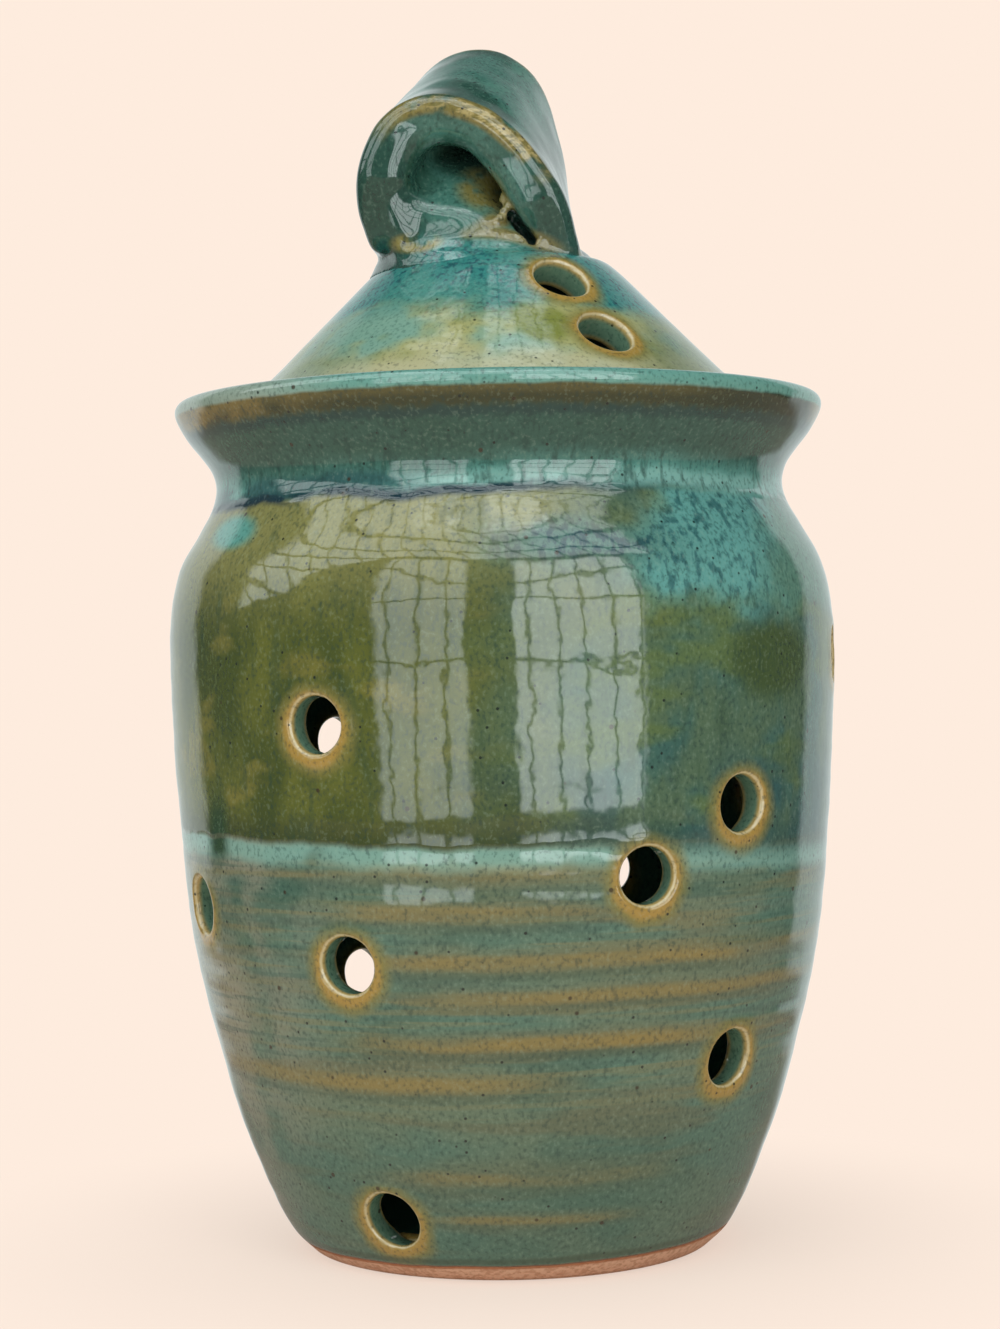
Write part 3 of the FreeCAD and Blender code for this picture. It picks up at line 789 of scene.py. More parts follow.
def shoulder_and_neck(glaze, colours):
    """The glaze breaks to turquoise at the shoulder, with a dark line where two coats meet."""
    mottle = glaze.cloud(1.5, (1.0, 1.0, 1.8), 4.0, 33.0)
    in_front = (glaze.y, 10.0, -5.0)
    right = (glaze.wander(glaze.x, 13, 12.0, 31.0), 19.0, 30.0)
    down = (glaze.wander(glaze.z, 10, 7.0, 32.0), 115.0, 121.0)
    turquoise = glaze.mottled(
        tuple(colours.turquoise),
        ("#2C5F62", (mottle, 0.46, 0.66, 0.8)),
        ("#55806C", (glaze.wander(glaze.x, 9, 6.0, 35.0), 43.0, 52.0, 0.85)),
    )
    glaze.coat(turquoise, right, down, (glaze.z, 140.5, 138.0), in_front)
    middle = glaze.band(glaze.x, 14.0, 26.0), glaze.band(glaze.wander(glaze.z, 9, 4.0, 34.0), 129.0, 6.0)
    glaze.coat(glaze.mottled("#4F7A70", ("#254D55", (mottle, 0.44, 0.6))), *middle, in_front)
    glaze.coat("#5DA397", glaze.spot((-47.0, -30.0, 133.0), (5.5, 12.0, 3.4)))

    line = glaze.wander(glaze.z, 11, 1.5, 36.0, (1.0, 1.0, 8.0))
    above = glaze.where((line, 138.0, 139.4))
    right = (glaze.wander(glaze.x, 12, 8.0, 46.0), -26.0, -6.0)
    neck = glaze.mottled(
        "#5FA096",
        ("#375F53", (line, 140.5, 146.5)),
        ("#86BDB4", glaze.band(line, 140.4, 2.6, 0.8), right),
        ("#33584A", (glaze.cloud(13, (2.0, 2.0, 0.6), 2.0, 37.0), 0.45, 0.65, 0.6)),
        ("#24463E", (glaze.cloud(1.3, (1.0, 1.0, 5.0), 3.0, 38.0), 0.50, 0.70, 0.6)),
    )
    glaze.coat(neck, above)
    broken = (glaze.cloud(13, (1.4, 1.4, 0.5), 3.0, 39.0), 0.34, 0.46)
    glaze.coat("#12303E", glaze.band(line, 138.7, 1.7), broken, (glaze.x, 40.0, -4.0))
    glaze.coat("#1F4A50", glaze.band(line, 140.6, 2.6, 0.7), broken, (glaze.x, -8.0, -20.0))
    glaze.raise_by(above, 0.2)


def brown_rim(glaze):
    """Under the lip the glaze breaks to olive brown; the lip itself stays pale teal."""
    ragged = glaze.wander(glaze.z, 1.3, 1.1, 41.0, (1.0, 1.0, 8.0))
    brown = glaze.mottled(
        "#3C4126",
        ("#585530", (glaze.z, 153.8, 155.4)),
        ("#84743E", (glaze.x, -26.0, -52.0), (glaze.cloud(12, shift=42.0), 0.34, 0.58)),
        ("#26331F", (glaze.x, 26.0, 44.0, 0.85)),
        ("#8A7A3E", (glaze.x, 56.0, 60.0)),
    )
    glaze.coat("#22403E", glaze.band(ragged, 151.8, 1.6, 0.75))
    glaze.coat(brown, (ragged, 151.8, 153.4))
    lip = glaze.mottled("#6AA296", ("#98A99A", (glaze.x, -22.0, -46.0, 0.85)))
    glaze.coat(lip, (glaze.wander(glaze.z, 8, 0.5, 43.0), 155.6, 156.3))


def vent_edges(glaze):
    """Round each vent the glaze thins to a cream line and pulls back into an ochre halo."""
    rim = glaze.attribute("rim")
    out = glaze.wander(rim, 5, 0.9, 51.0)
    out = glaze.node(MATH, [glaze.attribute("below"), -1.0, out], operation="MULTIPLY_ADD")
    glaze.coat("#857F42", (out, 4.4, 1.4, 0.85))
    glaze.coat("#AE8F45", (out, 2.3, 0.6, 0.9))
    glaze.coat("#DAD0A4", glaze.band(glaze.wander(rim, 1.6, 0.3, 52.0), 0.05, 0.6, 0.75))
    glaze.coat("#B9A468", (rim, 0.0, -0.5, 0.8))
    glaze.coat("#5C8D7A", (rim, -0.5, -1.6, 0.9))


def bare_foot(glaze, colours):
    """Glaze is wiped off the foot, which stays matt buff clay with a burnt line at its edge.

    The clay's grog is in grains of 0.5 mm, drawn nearly twice that to show.
    """
    edge = glaze.node(MATH, [glaze.x, 0.022, 3.2], operation="MULTIPLY_ADD")
    over = glaze.node(MATH, [glaze.z, glaze.wander(edge, 14, 0.5, 61.0)], operation="SUBTRACT")
    glaze.coat("#3E4E3A", glaze.band(over, 1.1, 1.0, 0.6))
    clay = glaze.where((over, 0.25, 0.0))
    grog = glaze.where((glaze.cloud(0.9, detail=3.0, shift=62.0), 0.4, 0.65))
    glaze.coat(glaze.mottled(tuple(colours.clay), ("#C4977A", grog)), clay)
    glaze.coat("#A0603A", glaze.band(over, -0.1, 0.6, 0.8))
    glaze.bare_and_shade = clay
    glaze.raise_by(clay, grog, 0.06)
    glaze.raise_by(clay, -0.3)


def jar_finish(colours):
    """The jar's coats in the order that they lie over each other."""
    glaze = Glaze("Poured reactive glaze on the jar")
    grey_teal_ground(glaze, colours)
    ochre_rings(glaze, colours)
    poured_band(glaze, colours)
    shoulder_and_neck(glaze, colours)
    brown_rim(glaze)
    glaze.coat("#4F7C6A", glaze.attribute("inside"))
    vent_edges(glaze)
    glaze.speckle("#24403C", "#A9C4AE", 0.8)
    glaze.specks("#3A2F20", 7.0, 0.8, 5.0)
    glaze.specks("#16211E", 3.2, 0.5, 15.0)
    bare_foot(glaze, colours)
    return glaze.finish()


def cone_coats(glaze, colours):
    """The lid's cone: cream and yellow green low down, turquoise with dark specks on top."""
    glaze.coat(tuple(colours.cone))
    glaze.coat("#A8AC72", (glaze.cloud(15, (1.3, 1.3, 0.8), 3.0, 71.0), 0.40, 0.56))
    glaze.coat("#C6C59E", (glaze.wander(glaze.z, 12, 4.0, 72.0), 167.0, 161.0, 0.8))
    glaze.coat("#6A8A70", (glaze.wander(glaze.x, 10, 5.0, 78.0), -24.0, -36.0, 0.7))
    patches = (glaze.cloud(17, (1.0, 1.0, 0.7), 2.0, 73.0), 0.47, 0.59)
    glaze.coat("#7B873A", patches, glaze.band(glaze.z, 168.5, 8.0, 0.9))
    glaze.coat("#4E6A3D", (glaze.wander(glaze.x, 10, 5.0, 74.0), 22.0, 32.0, 0.7))
    turquoise = glaze.mottled(
        "#3B8A84",
        ("#1B4A58", (glaze.cloud(1.0, (1.0, 1.0, 1.2), 3.0, 76.0), 0.46, 0.70, 0.85)),
        ("#55978A", (glaze.cloud(14, shift=77.0), 0.48, 0.64, 0.7)),
    )
    glaze.coat(turquoise, (glaze.wander(glaze.z, 13, 4.5, 75.0), 170.0, 175.0))


def lid_finish(colours):
    """The cone's coats outside and plain teal in the hollow."""
    glaze = Glaze("Poured reactive glaze on the lid")
    cone_coats(glaze, colours)
    glaze.coat("#5C8B79", glaze.attribute("inside"))
    vent_edges(glaze)
    glaze.speckle("#24403C", "#B4CDB6", 0.6)
    glaze.specks("#16211E", 3.2, 0.5, 15.0)
    return glaze.finish()


def handle_finish(colours):
    """Dark teal with ochre along the crown's ridge, and painted shade on the legs, in the hollow and in
    the gap.
    """
    glaze = Glaze("Poured reactive glaze on the handle")
    cone_coats(glaze, colours)
    teal = glaze.mottled(
        tuple(colours.handle),
        ("#2E574B", (glaze.cloud(12, shift=81.0), 0.46, 0.66)),
        ("#548A7A", (glaze.cloud(9, (1.6, 1.6, 0.8), 2.0, 82.0), 0.54, 0.7, 0.7)),
    )
    glaze.coat(teal, (glaze.wander(glaze.z, 8, 2.0, 83.0), 184.0, 190.0))
    # Painted shade: both legs are coated darker below the crown.
    shaded_legs = glaze.where((glaze.z, 214.0, 204.0, 0.85))
    glaze.coat("#22463A", shaded_legs, (glaze.x, -10.0, -17.0))
    glaze.coat("#26493D", shaded_legs, (glaze.x, 3.0, 9.0))
    # Painted shade in the hollow under the crown, over the stem and the strap's inner faces.
    glaze.coat("#1B3029", (*glaze.spot((-3.0, -2.0, 203.5), (11.0, 11.0, 7.0)), 0.7))

    ridge, turn, torn, gap = (glaze.attribute(name) for name in ("ridge", "turn", "torn", "gap"))
    patchy = (glaze.cloud(6, detail=3.0, shift=84.0), 0.34, 0.52)
    crown = glaze.where((turn, 0.20, 0.34), (turn, 0.86, 0.72), patchy)
    glaze.coat("#7F7742", (ridge, 0.26, 0.5), crown)
    scratches = (glaze.cloud(0.9, (3.0, 1.0, 1.0), 3.0, 85.0), 0.46, 0.6, 0.8)
    glaze.coat("#BDAE76", (ridge, 0.46, 0.62), crown, scratches, (glaze.x, -17.0, -7.0))
    glaze.coat("#8A7C42", (torn, 2.8, 0.9, 0.85))
    glaze.coat("#CFC294", (torn, 0.9, 0.5, 0.8))
    glaze.coat("#8C8444", glaze.spot((-14.5, -17.0, 186.6), (5.0, 6.0, 1.9)), patchy)
    glaze.coat("#7C7844", glaze.spot((-2.0, -10.0, 196.6), (5.4, 9.0, 5.4)), patchy)
    glaze.speckle("#1A332E", "#9DBFAC", 0.8)
    glaze.specks("#0F1C1C", 2.8, 0.55, 25.0)
    # Painted shade: the gap behind the torn lip is coated near black, and made matt like unglazed clay.
    glaze.bare_and_shade = glaze.where((gap, 1.15, 0.75))
    glaze.coat("#0C1512", glaze.bare_and_shade)
    return glaze.finish()


# ---- settings ----


class JarSettings(bpy.types.PropertyGroup):
    """Sizes of the thrown walls."""

    vent_diameter: bpy.props.FloatProperty(
        name="Vent diameter", description="Width of the round air vents", default=0.010, unit="LENGTH"
    )
    edge_round: bpy.props.FloatProperty(
        name="Edge round", description="How far glaze softens a vent's edge", default=0.0009, unit="LENGTH"
    )
    bead: bpy.props.FloatProperty(
        name="Bead", description="Height of the glaze gathered round a vent", default=0.0002, unit="LENGTH"
    )
    ring_depth: bpy.props.FloatProperty(
        name="Ring depth", description="Height of the thrower's rings", default=0.0002, unit="LENGTH"
    )
    ring_spacing: bpy.props.FloatProperty(
        name="Ring spacing", description="Distance from ring to ring", default=0.0065, unit="LENGTH"
    )
    wobble: bpy.props.FloatProperty(
        name="Wobble", description="How far the wall is out of true", default=0.0003, unit="LENGTH"
    )


class HandleSettings(bpy.types.PropertyGroup):
    """Sizes of the strap handle."""

    thickness: bpy.props.FloatProperty(
        name="Strap thickness", description="Thickness of the clay strap", default=0.0096, unit="LENGTH"
    )
    front: bpy.props.FloatProperty(
        name="Front edge", description="Place of the sheet's front edge", default=-0.0148, unit="LENGTH"
    )
    back: bpy.props.FloatProperty(
        name="Back edge", description="Place of the sheet's back edge", default=0.0082, unit="LENGTH"
    )
    ridge_round: bpy.props.FloatProperty(
        name="Ridge round", description="Round of the strap's outer edges", default=0.0028, unit="LENGTH"
    )
    grid_step: bpy.props.FloatProperty(
        name="Grid step", description="Step of the grid for the clay", default=0.00042, unit="LENGTH"
    )


class GlazeSettings(bpy.types.PropertyGroup):
    """Main colours of the poured glazes, and of the clay where they are wiped off."""

    ground: bpy.props.FloatVectorProperty(
        name="Ground", description="First coat of the jar", subtype="COLOR", size=4,
        default=linear("#577B6A"), min=0.0, max=1.0,
    )
    ochre: bpy.props.FloatVectorProperty(
        name="Ochre", description="Rings where the jar's glaze runs thin", subtype="COLOR", size=4,
        default=linear("#938147"), min=0.0, max=1.0,
    )
    olive: bpy.props.FloatVectorProperty(
        name="Olive", description="Left side of the poured band", subtype="COLOR", size=4,
        default=linear("#626A2C"), min=0.0, max=1.0,
    )
    turquoise: bpy.props.FloatVectorProperty(
        name="Turquoise", description="Right side of the shoulder", subtype="COLOR", size=4,
        default=linear("#62A39C"), min=0.0, max=1.0,
    )
    clay: bpy.props.FloatVectorProperty(
        name="Clay", description="Bare clay of the foot", subtype="COLOR", size=4,
        default=linear("#DDB497"), min=0.0, max=1.0,
    )
    cone: bpy.props.FloatVectorProperty(
        name="Cone", description="First coat of the lid", subtype="COLOR", size=4,
        default=linear("#7FAB98"), min=0.0, max=1.0,
    )
    handle: bpy.props.FloatVectorProperty(
        name="Handle", description="Main colour of the handle", subtype="COLOR", size=4,
        default=linear("#44766A"), min=0.0, max=1.0,
    )


class StageSettings(bpy.types.PropertyGroup):
    """Floor, light and camera."""

    room_colour: bpy.props.FloatVectorProperty(
        name="Room", description="Colour of the floor and the backdrop", subtype="COLOR", size=4,
        default=linear("#FEECDE"), min=0.0, max=1.0,
    )
    window_level: bpy.props.FloatProperty(
        name="Window level", description="Brightness of the soft window", default=2.6
    )
    camera_distance: bpy.props.FloatProperty(
        name="Camera distance", description="From the lens to the jar's axis", default=0.512, unit="LENGTH"
    )
    camera_height: bpy.props.FloatProperty(
        name="Camera height", description="Height of the lens", default=0.1063, unit="LENGTH"
    )
    lens: bpy.props.FloatProperty(name="Lens", description="Focal length in millimetres", default=72.87)


class KeeperSettings(bpy.types.PropertyGroup):
    """All settings of the garlic keeper."""

    jar: bpy.props.PointerProperty(type=JarSettings)
    handle: bpy.props.PointerProperty(type=HandleSettings)
    glaze: bpy.props.PointerProperty(type=GlazeSettings)
    stage: bpy.props.PointerProperty(type=StageSettings)


# ---- pieces ----


def throw_wall(name, wall, faces, vents, tilt, settings, values):
    """Cut a wall's vents, throw it and return it as a plain mesh object."""
    radius = settings.vent_diameter / MM / 2
    holes = []
    for azimuth, height in vents.values():
        turned = math.radians(azimuth)
        wall.cut_vent(faces, turned, height, tilt, radius, settings.edge_round / MM)
        for face, level in zip(faces, (height, height - WALL_THICKNESS * math.sin(tilt))):
            holes.append((turned, level, float(np.interp(level, *wall.face_line(face))), radius))
    sizes = {"Ring spacing": settings.ring_spacing / MM, "Bead": settings.bead / MM}
    tree = bpy.data.node_groups.get("Thrown wall") or throwing_tree()
    return run_tree(name, wall.to_mesh(name + "_wall", holes), tree, {**sizes, **values})


class KEEPER_OT_jar(bpy.types.Operator):
    """Throw the jar, cut its vents and glaze it"""

    bl_idname = "keeper.jar"
    bl_label = "Jar"

    def execute(self, context):
        settings = context.scene.garlic_keeper.jar
        values = {
            "Ring depth": settings.ring_depth / MM,
            "Wobble": settings.wobble / MM,
            "Calm above": JAR_CALM_ABOVE,
            "Finish": jar_finish(context.scene.garlic_keeper.glaze),
        }
        wall = Wall(JAR_WALL, JAR_COLUMNS, ("gallery", "inside", "floor"))
        piece = throw_wall("thrown_jar", wall, ("outside", "inside"), JAR_VENTS, 0.0, settings, values)
        place_piece(piece, "jar", "jar")
        return {"FINISHED"}


class KEEPER_OT_lid(bpy.types.Operator):
    """Throw the lid, cut its vents and glaze it"""

    bl_idname = "keeper.lid"
    bl_label = "Lid"

    def execute(self, context):
        settings = context.scene.garlic_keeper.jar
        values = {
            "Ring depth": settings.ring_depth / MM / 2,
            "Wobble": 0.0,
            "Calm above": LID_CALM_ABOVE,
            "Finish": lid_finish(context.scene.garlic_keeper.glaze),
        }
        wall = Wall(LID_WALL, LID_COLUMNS, ("ceiling", "hollow"))
        piece = throw_wall("thrown_lid", wall, ("cone", "hollow"), LID_VENTS, CONE_SLOPE, settings, values)
        place_piece(piece, "lid", "lid")
        return {"FINISHED"}


def strap_sheet(settings):
    """Middle sheet of the strap, ruled between its front and its back edge.

    Towards each foot it narrows, by front_tuck at the front and back_tuck at the back.
    """
    steps, wide = 121, 17
    foot_steps, front_tuck, back_tuck = 18, 2.5, 1.0
    front, back = even_line(STRAP_FRONT, steps), even_line(STRAP_BACK, steps)
    places, faces = [], []
    for i in range(steps):
        foot = max(0.0, 1 - min(i, steps - 1 - i) / foot_steps)
        near = settings.front / MM + front_tuck * foot
        far = settings.back / MM - back_tuck * foot
        for share in np.linspace(0, 1, wide):
            x, z = front[i] * (1 - share) + back[i] * share
            places.append((x * MM, (near * (1 - share) + far * share) * MM, z * MM))
    for i in range(steps - 1):
        for j in range(wide - 1):
            a = i * wide + j
            faces.append((a, a + wide, a + wide + 1, a + 1))
    mesh = bpy.data.meshes.new("strap_sheet")
    mesh.from_pydata(places, [], faces)
    turn = np.repeat(np.linspace(0, 1, steps), wide).astype(np.float32)
    mesh.attributes.new("turn", "FLOAT", "POINT").data.foreach_set("value", turn)
    return mesh


def guide_object(name, places, faces):
    """A helper mesh, in mm, of a line or a sheet that the clay is formed along."""
    mesh = bpy.data.meshes.new(name)
    edges = [] if faces else [(i, i + 1) for i in range(len(places) - 1)]
    mesh.from_pydata([[value * MM for value in place] for place in places], edges, faces)
    guide = bpy.data.objects.new(name, mesh)
    bpy.context.scene.collection.objects.link(guide)
    return guide


def clay_tree(grid_step):
    """Geometry nodes that thicken the strap's sheet and press it onto the stem and the cone.

    The clay is worked out as a distance in mm on a grid and skinned where it is nought.
    """
    joins = {"Soft join": 12.0, "Tight join": 1.2}
    sizes = {"Thickness": 9.6, "Ridge round": 2.8, **joins, "Unevenness": 0.8}
    tree, given = new_tree("Pressed clay", sizes, ("Torn lip", "Gap"))

    def node(kind, inputs=(), out=0, **settings):
        return add_node(tree, kind, inputs, out, **settings)

    def distance(name, element):
        guide = node("GeometryNodeObjectInfo", {"Object": given[name]}, "Geometry")
        inputs = {"Geometry": guide, "Sample Position": spot}
        value = node("GeometryNodeProximity", inputs, "Distance", target_element=element)
        return node(MATH, [value, 1 / MM], operation="MULTIPLY")

    spot = node("GeometryNodeInputPosition")
    in_mm = node(VECTOR, {"Vector": spot, "Scale": 1 / MM}, operation="SCALE")
    x, y, z = node(SPLIT, [in_mm], None).outputs
    up = node(MATH, [z, -SEAT_HEIGHT])
    half = node(MATH, [given["Thickness"], 0.5], operation="MULTIPLY")

    # The strap: a flat section, sharper at its outer edges than at its inner ones.
    sheet = given["Geometry"]
    inputs = {"Geometry": sheet, "Sample Position": spot}
    nearest = node("GeometryNodeProximity", inputs, "Position", target_element="FACES")
    samples = []
    for value, kind in (
        (node("GeometryNodeInputNormal"), "FLOAT_VECTOR"),
        (node("GeometryNodeInputNamedAttribute", {"Name": "turn"}, data_type="FLOAT"), "FLOAT"),
    ):
        inputs = {"Mesh": sheet, "Value": value, "Sample Position": spot}
        samples.append(node("GeometryNodeSampleNearestSurface", inputs, data_type=kind))
    facing, turn = samples
    away = node(VECTOR, [spot, nearest], operation="SUBTRACT")
    away = node(VECTOR, {"Vector": away, "Scale": 1 / MM}, operation="SCALE")
    over = node(VECTOR, [away, facing], "Value", operation="DOT_PRODUCT")
    square = node(VECTOR, [away, away], "Value", operation="DOT_PRODUCT")
    square = node(MATH, [square, node(MATH, [over, over], operation="MULTIPLY")], operation="SUBTRACT")
    beyond = node(MATH, [node(MATH, [square, 0.0], operation="MAXIMUM")], operation="SQRT")
    full_round = node(MATH, [half, -0.4])
    rounding = node(RANGE, [over, -0.8, 0.8, full_round, given["Ridge round"]], **SMOOTH)
    core = node(MATH, [rounding, half], operation="SUBTRACT")
    edge = node(MATH, [beyond, core])
    face = node(MATH, [node(MATH, [over], operation="ABSOLUTE"), core])
    corner = [node(MATH, [value, 0.0], operation="MAXIMUM") for value in (edge, face)]
    outside = node(VECTOR, [node(JOIN, corner)], "Value", operation="LENGTH")
    within = node(MATH, [node(MATH, [edge, face], operation="MAXIMUM"), 0.0], operation="MINIMUM")
    strap = node(MATH, [node(MATH, [outside, within]), rounding], operation="SUBTRACT")

    # The stem: an oval that narrows, leans to the left and sets back as it rises.
    stops = [(row[0] / STEM_SPAN, [value / STEM_SPAN for value in row[1:]]) for row in STEM]
    share_up = node(MATH, [up, STEM_SPAN], operation="DIVIDE")
    ramp = node("ShaderNodeValToRGB", [share_up], None, stops=stops)
    ramp.color_ramp.interpolation = "CARDINAL"
    shares = [*node(SPLIT, [ramp.outputs["Color"]], None).outputs, ramp.outputs["Alpha"]]
    wide, deep, lean, back = (node(MATH, [value, STEM_SPAN], operation="MULTIPLY") for value in shares)
    aside = node(MATH, [node(MATH, [x, lean]), wide], operation="DIVIDE")
    behind = node(MATH, [node(MATH, [y, back], operation="SUBTRACT"), deep], operation="DIVIDE")
    oval = node(VECTOR, [node(JOIN, [aside, behind])], "Value", operation="LENGTH")
    size = node(MATH, [deep, 0.9], operation="MULTIPLY")
    stem = node(MATH, [node(MATH, [oval, -1.0]), size], operation="MULTIPLY")
    over_top = node(MATH, [up, -STEM[-1][0]])
    stem = node(MATH, [stem, over_top], operation="MAXIMUM")

    # The lid's cone, with a skin of clay on it that dives under its surface lower down.
    about = node(VECTOR, [node(JOIN, [x, y])], "Value", operation="LENGTH")
    skin_on_cone = node(RANGE, [up, -SKIRT, 0.4, SEAT_RADIUS - 0.3, SEAT_RADIUS + 0.25])
    slope = node(MATH, [node(MATH, [about, up]), skin_on_cone], operation="SUBTRACT")
    slope = node(MATH, [slope, math.sqrt(0.5)], operation="MULTIPLY")
    cone = node(MATH, [slope, node(MATH, [up, 0.15]), 3.0], operation="SMOOTH_MAX")

    fillet = node(RANGE, [x, -10.0, 2.0, 5.0, 2.4], **SMOOTH)
    body = node(MATH, [stem, cone, fillet], operation="SMOOTH_MIN")
    join = node(RANGE, [x, -12.0, 0.0, given["Soft join"], given["Tight join"]], **SMOOTH)
    join = node(RANGE, [over, -1.0, 3.0, join, given["Tight join"]], **SMOOTH)
    body = node(MATH, [strap, body, join], operation="SMOOTH_MIN")
    torn = distance("Torn lip", "EDGES")
    ragged = node(NOISE, {"Vector": in_mm, "Scale": 0.9, "Detail": 2.0})
    lip = node(MATH, [ragged, -1.6, torn], operation="MULTIPLY_ADD")
    body = node(MATH, [body, lip, 1.2], operation="SMOOTH_MIN")
    apart_from_gap = distance("Gap", "FACES")
    gap = node(MATH, [ragged, 1.6, 0.15], operation="MULTIPLY_ADD")
    gap = node(MATH, [gap, apart_from_gap], operation="SUBTRACT")
    body = node(MATH, [body, gap, 0.5], operation="SMOOTH_MAX")
    uneven = node(MATH, [node(NOISE, {"Vector": in_mm, "Scale": 0.09, "Detail": 1.0}), -0.5])
    held = node(RANGE, [up, 2.0, 8.0, 0.0, given["Unevenness"]], **SMOOTH)
    body = node(MATH, [uneven, held, body], operation="MULTIPLY_ADD")
    under_skirt = node(MATH, [-SKIRT, up], operation="SUBTRACT")
    body = node(MATH, [body, under_skirt], operation="MAXIMUM")

    # The clay is kept clear of the vent next to it.
    turned, height = math.radians(LID_VENTS["front_upper"][0]), LID_VENTS["front_upper"][1]
    reach = SEAT_RADIUS + SEAT_HEIGHT - height
    mouth = (reach * math.sin(turned), -reach * math.cos(turned), height)
    flat = math.cos(CONE_SLOPE)
    through = (math.sin(turned) * flat, -math.cos(turned) * flat, math.sin(CONE_SLOPE))
    apart = node(VECTOR, [in_mm, mouth], operation="SUBTRACT")
    apart = node(VECTOR, [apart, through], operation="CROSS_PRODUCT")
    from_middle = node(VECTOR, [apart], "Value", operation="LENGTH")
    clear = node(MATH, [VENT_CLEARANCE, from_middle], operation="SUBTRACT")
    body = node(MATH, [body, clear], operation="MAXIMUM")

    # The box is filled with the distance, which is less than nought outside the clay.
    low, high = ([value * MM for value in corner] for corner in CLAY_BOX)
    box = {"Min": low, "Max": high, "Background": -5.0}
    for axis, start, end in zip("XYZ", low, high):
        box["Resolution " + axis] = round((end - start) / grid_step)
    depth = node(MATH, [body, -1.0], operation="MULTIPLY")
    volume = node("GeometryNodeVolumeCube", {"Density": depth, **box})
    skin = node("GeometryNodeVolumeToMesh", {"Volume": volume, "Threshold": 0.0})

    # How near each place is to the strap's outer edge, for the glaze that runs thin there.
    ridge = node(MATH, [beyond, node(MATH, [over, 0.0], operation="MAXIMUM")], operation="MULTIPLY")
    ridge = node(MATH, [ridge, node(MATH, [half, half], operation="MULTIPLY")], operation="DIVIDE")
    for name, value in (("ridge", ridge), ("turn", turn), ("torn", torn), ("gap", apart_from_gap)):
        inputs = {"Geometry": skin, "Name": name, "Value": value}
        skin = node("GeometryNodeStoreNamedAttribute", inputs, data_type="FLOAT", domain="POINT")
    end_tree(tree, skin, given["Finish"])
    return tree


class KEEPER_OT_handle(bpy.types.Operator):
    """Bend the strap over the stem, press it on and glaze it"""

    bl_idname = "keeper.handle"
    bl_label = "Handle"

    def execute(self, context):
        settings = context.scene.garlic_keeper.handle
        count = len(GAP)
        sheet = [(x, y, z) for y in GAP_DEPTH for x, z in GAP]
        strip = [(i, i + 1, i + 1 + count, i + count) for i in range(count - 1)]
        gap = guide_object("gap_guide", sheet, strip)
        lip = guide_object("torn_lip_guide", TORN_LIP, [])
        values = {
            "Thickness": settings.thickness / MM,
            "Ridge round": settings.ridge_round / MM,
            "Torn lip": lip,
            "Gap": gap,
            "Finish": handle_finish(context.scene.garlic_keeper.glaze),
        }
        piece = run_tree("strap_handle", strap_sheet(settings), clay_tree(settings.grid_step), values)
        for guide in (lip, gap):
            bpy.data.objects.remove(guide)
        place_piece(piece, "lid", "lid_handle")
        return {"FINISHED"}


# ---- stage ----

# Panes of the soft window in front: azimuth and elevation of the centre, width and
# height, all in degrees as seen from the jar. They stand at a distance in m from the
# place on the jar's axis that they aim at, whose height is in m too.
PANES = [
    (-28.0, 12.0, 24.0, 26.0),
    (28.0, 12.0, 24.0, 26.0),
    (-15.0, 56.0, 56.0, 26.0),
]
PANE_DISTANCE = 1.3
PANE_AIM = 0.11

# The camera's shift up, its roll in degrees and how far right of the middle it stands,
# in m.
CAMERA_SHIFT = 0.0106
CAMERA_ROLL = 0.958
CAMERA_ASIDE = -0.00046


def add_pane(azimuth, elevation, wide, tall, radiance):
    """A soft box seen from the jar at an azimuth and elevation, with a given radiance."""
    turned, raised = math.radians(azimuth), math.radians(elevation)
    flat = math.cos(raised)
    out = np.array([math.sin(turned) * flat, -math.cos(turned) * flat, math.sin(raised)])
    light = bpy.data.lights.new("pane", "AREA")
    light.shape = "RECTANGLE"
    light.size = 2 * PANE_DISTANCE * math.tan(math.radians(wide) / 2)
    light.size_y = 2 * PANE_DISTANCE * math.tan(math.radians(tall) / 2)
    light.energy = radiance * math.pi * light.size * light.size_y
    lamp = bpy.data.objects.new("pane", light)
    lamp.visible_camera = False
    lamp.visible_glossy = False
    bpy.context.scene.collection.objects.link(lamp)
    side = np.array([math.cos(turned), math.sin(turned), 0.0])
    over = np.cross(out, side)
    centre = out * PANE_DISTANCE + np.array([0, 0, PANE_AIM])
    rows = [[side[i], over[i], out[i], centre[i]] for i in range(3)]
    lamp.matrix_world = Matrix([*rows, [0, 0, 0, 1]])


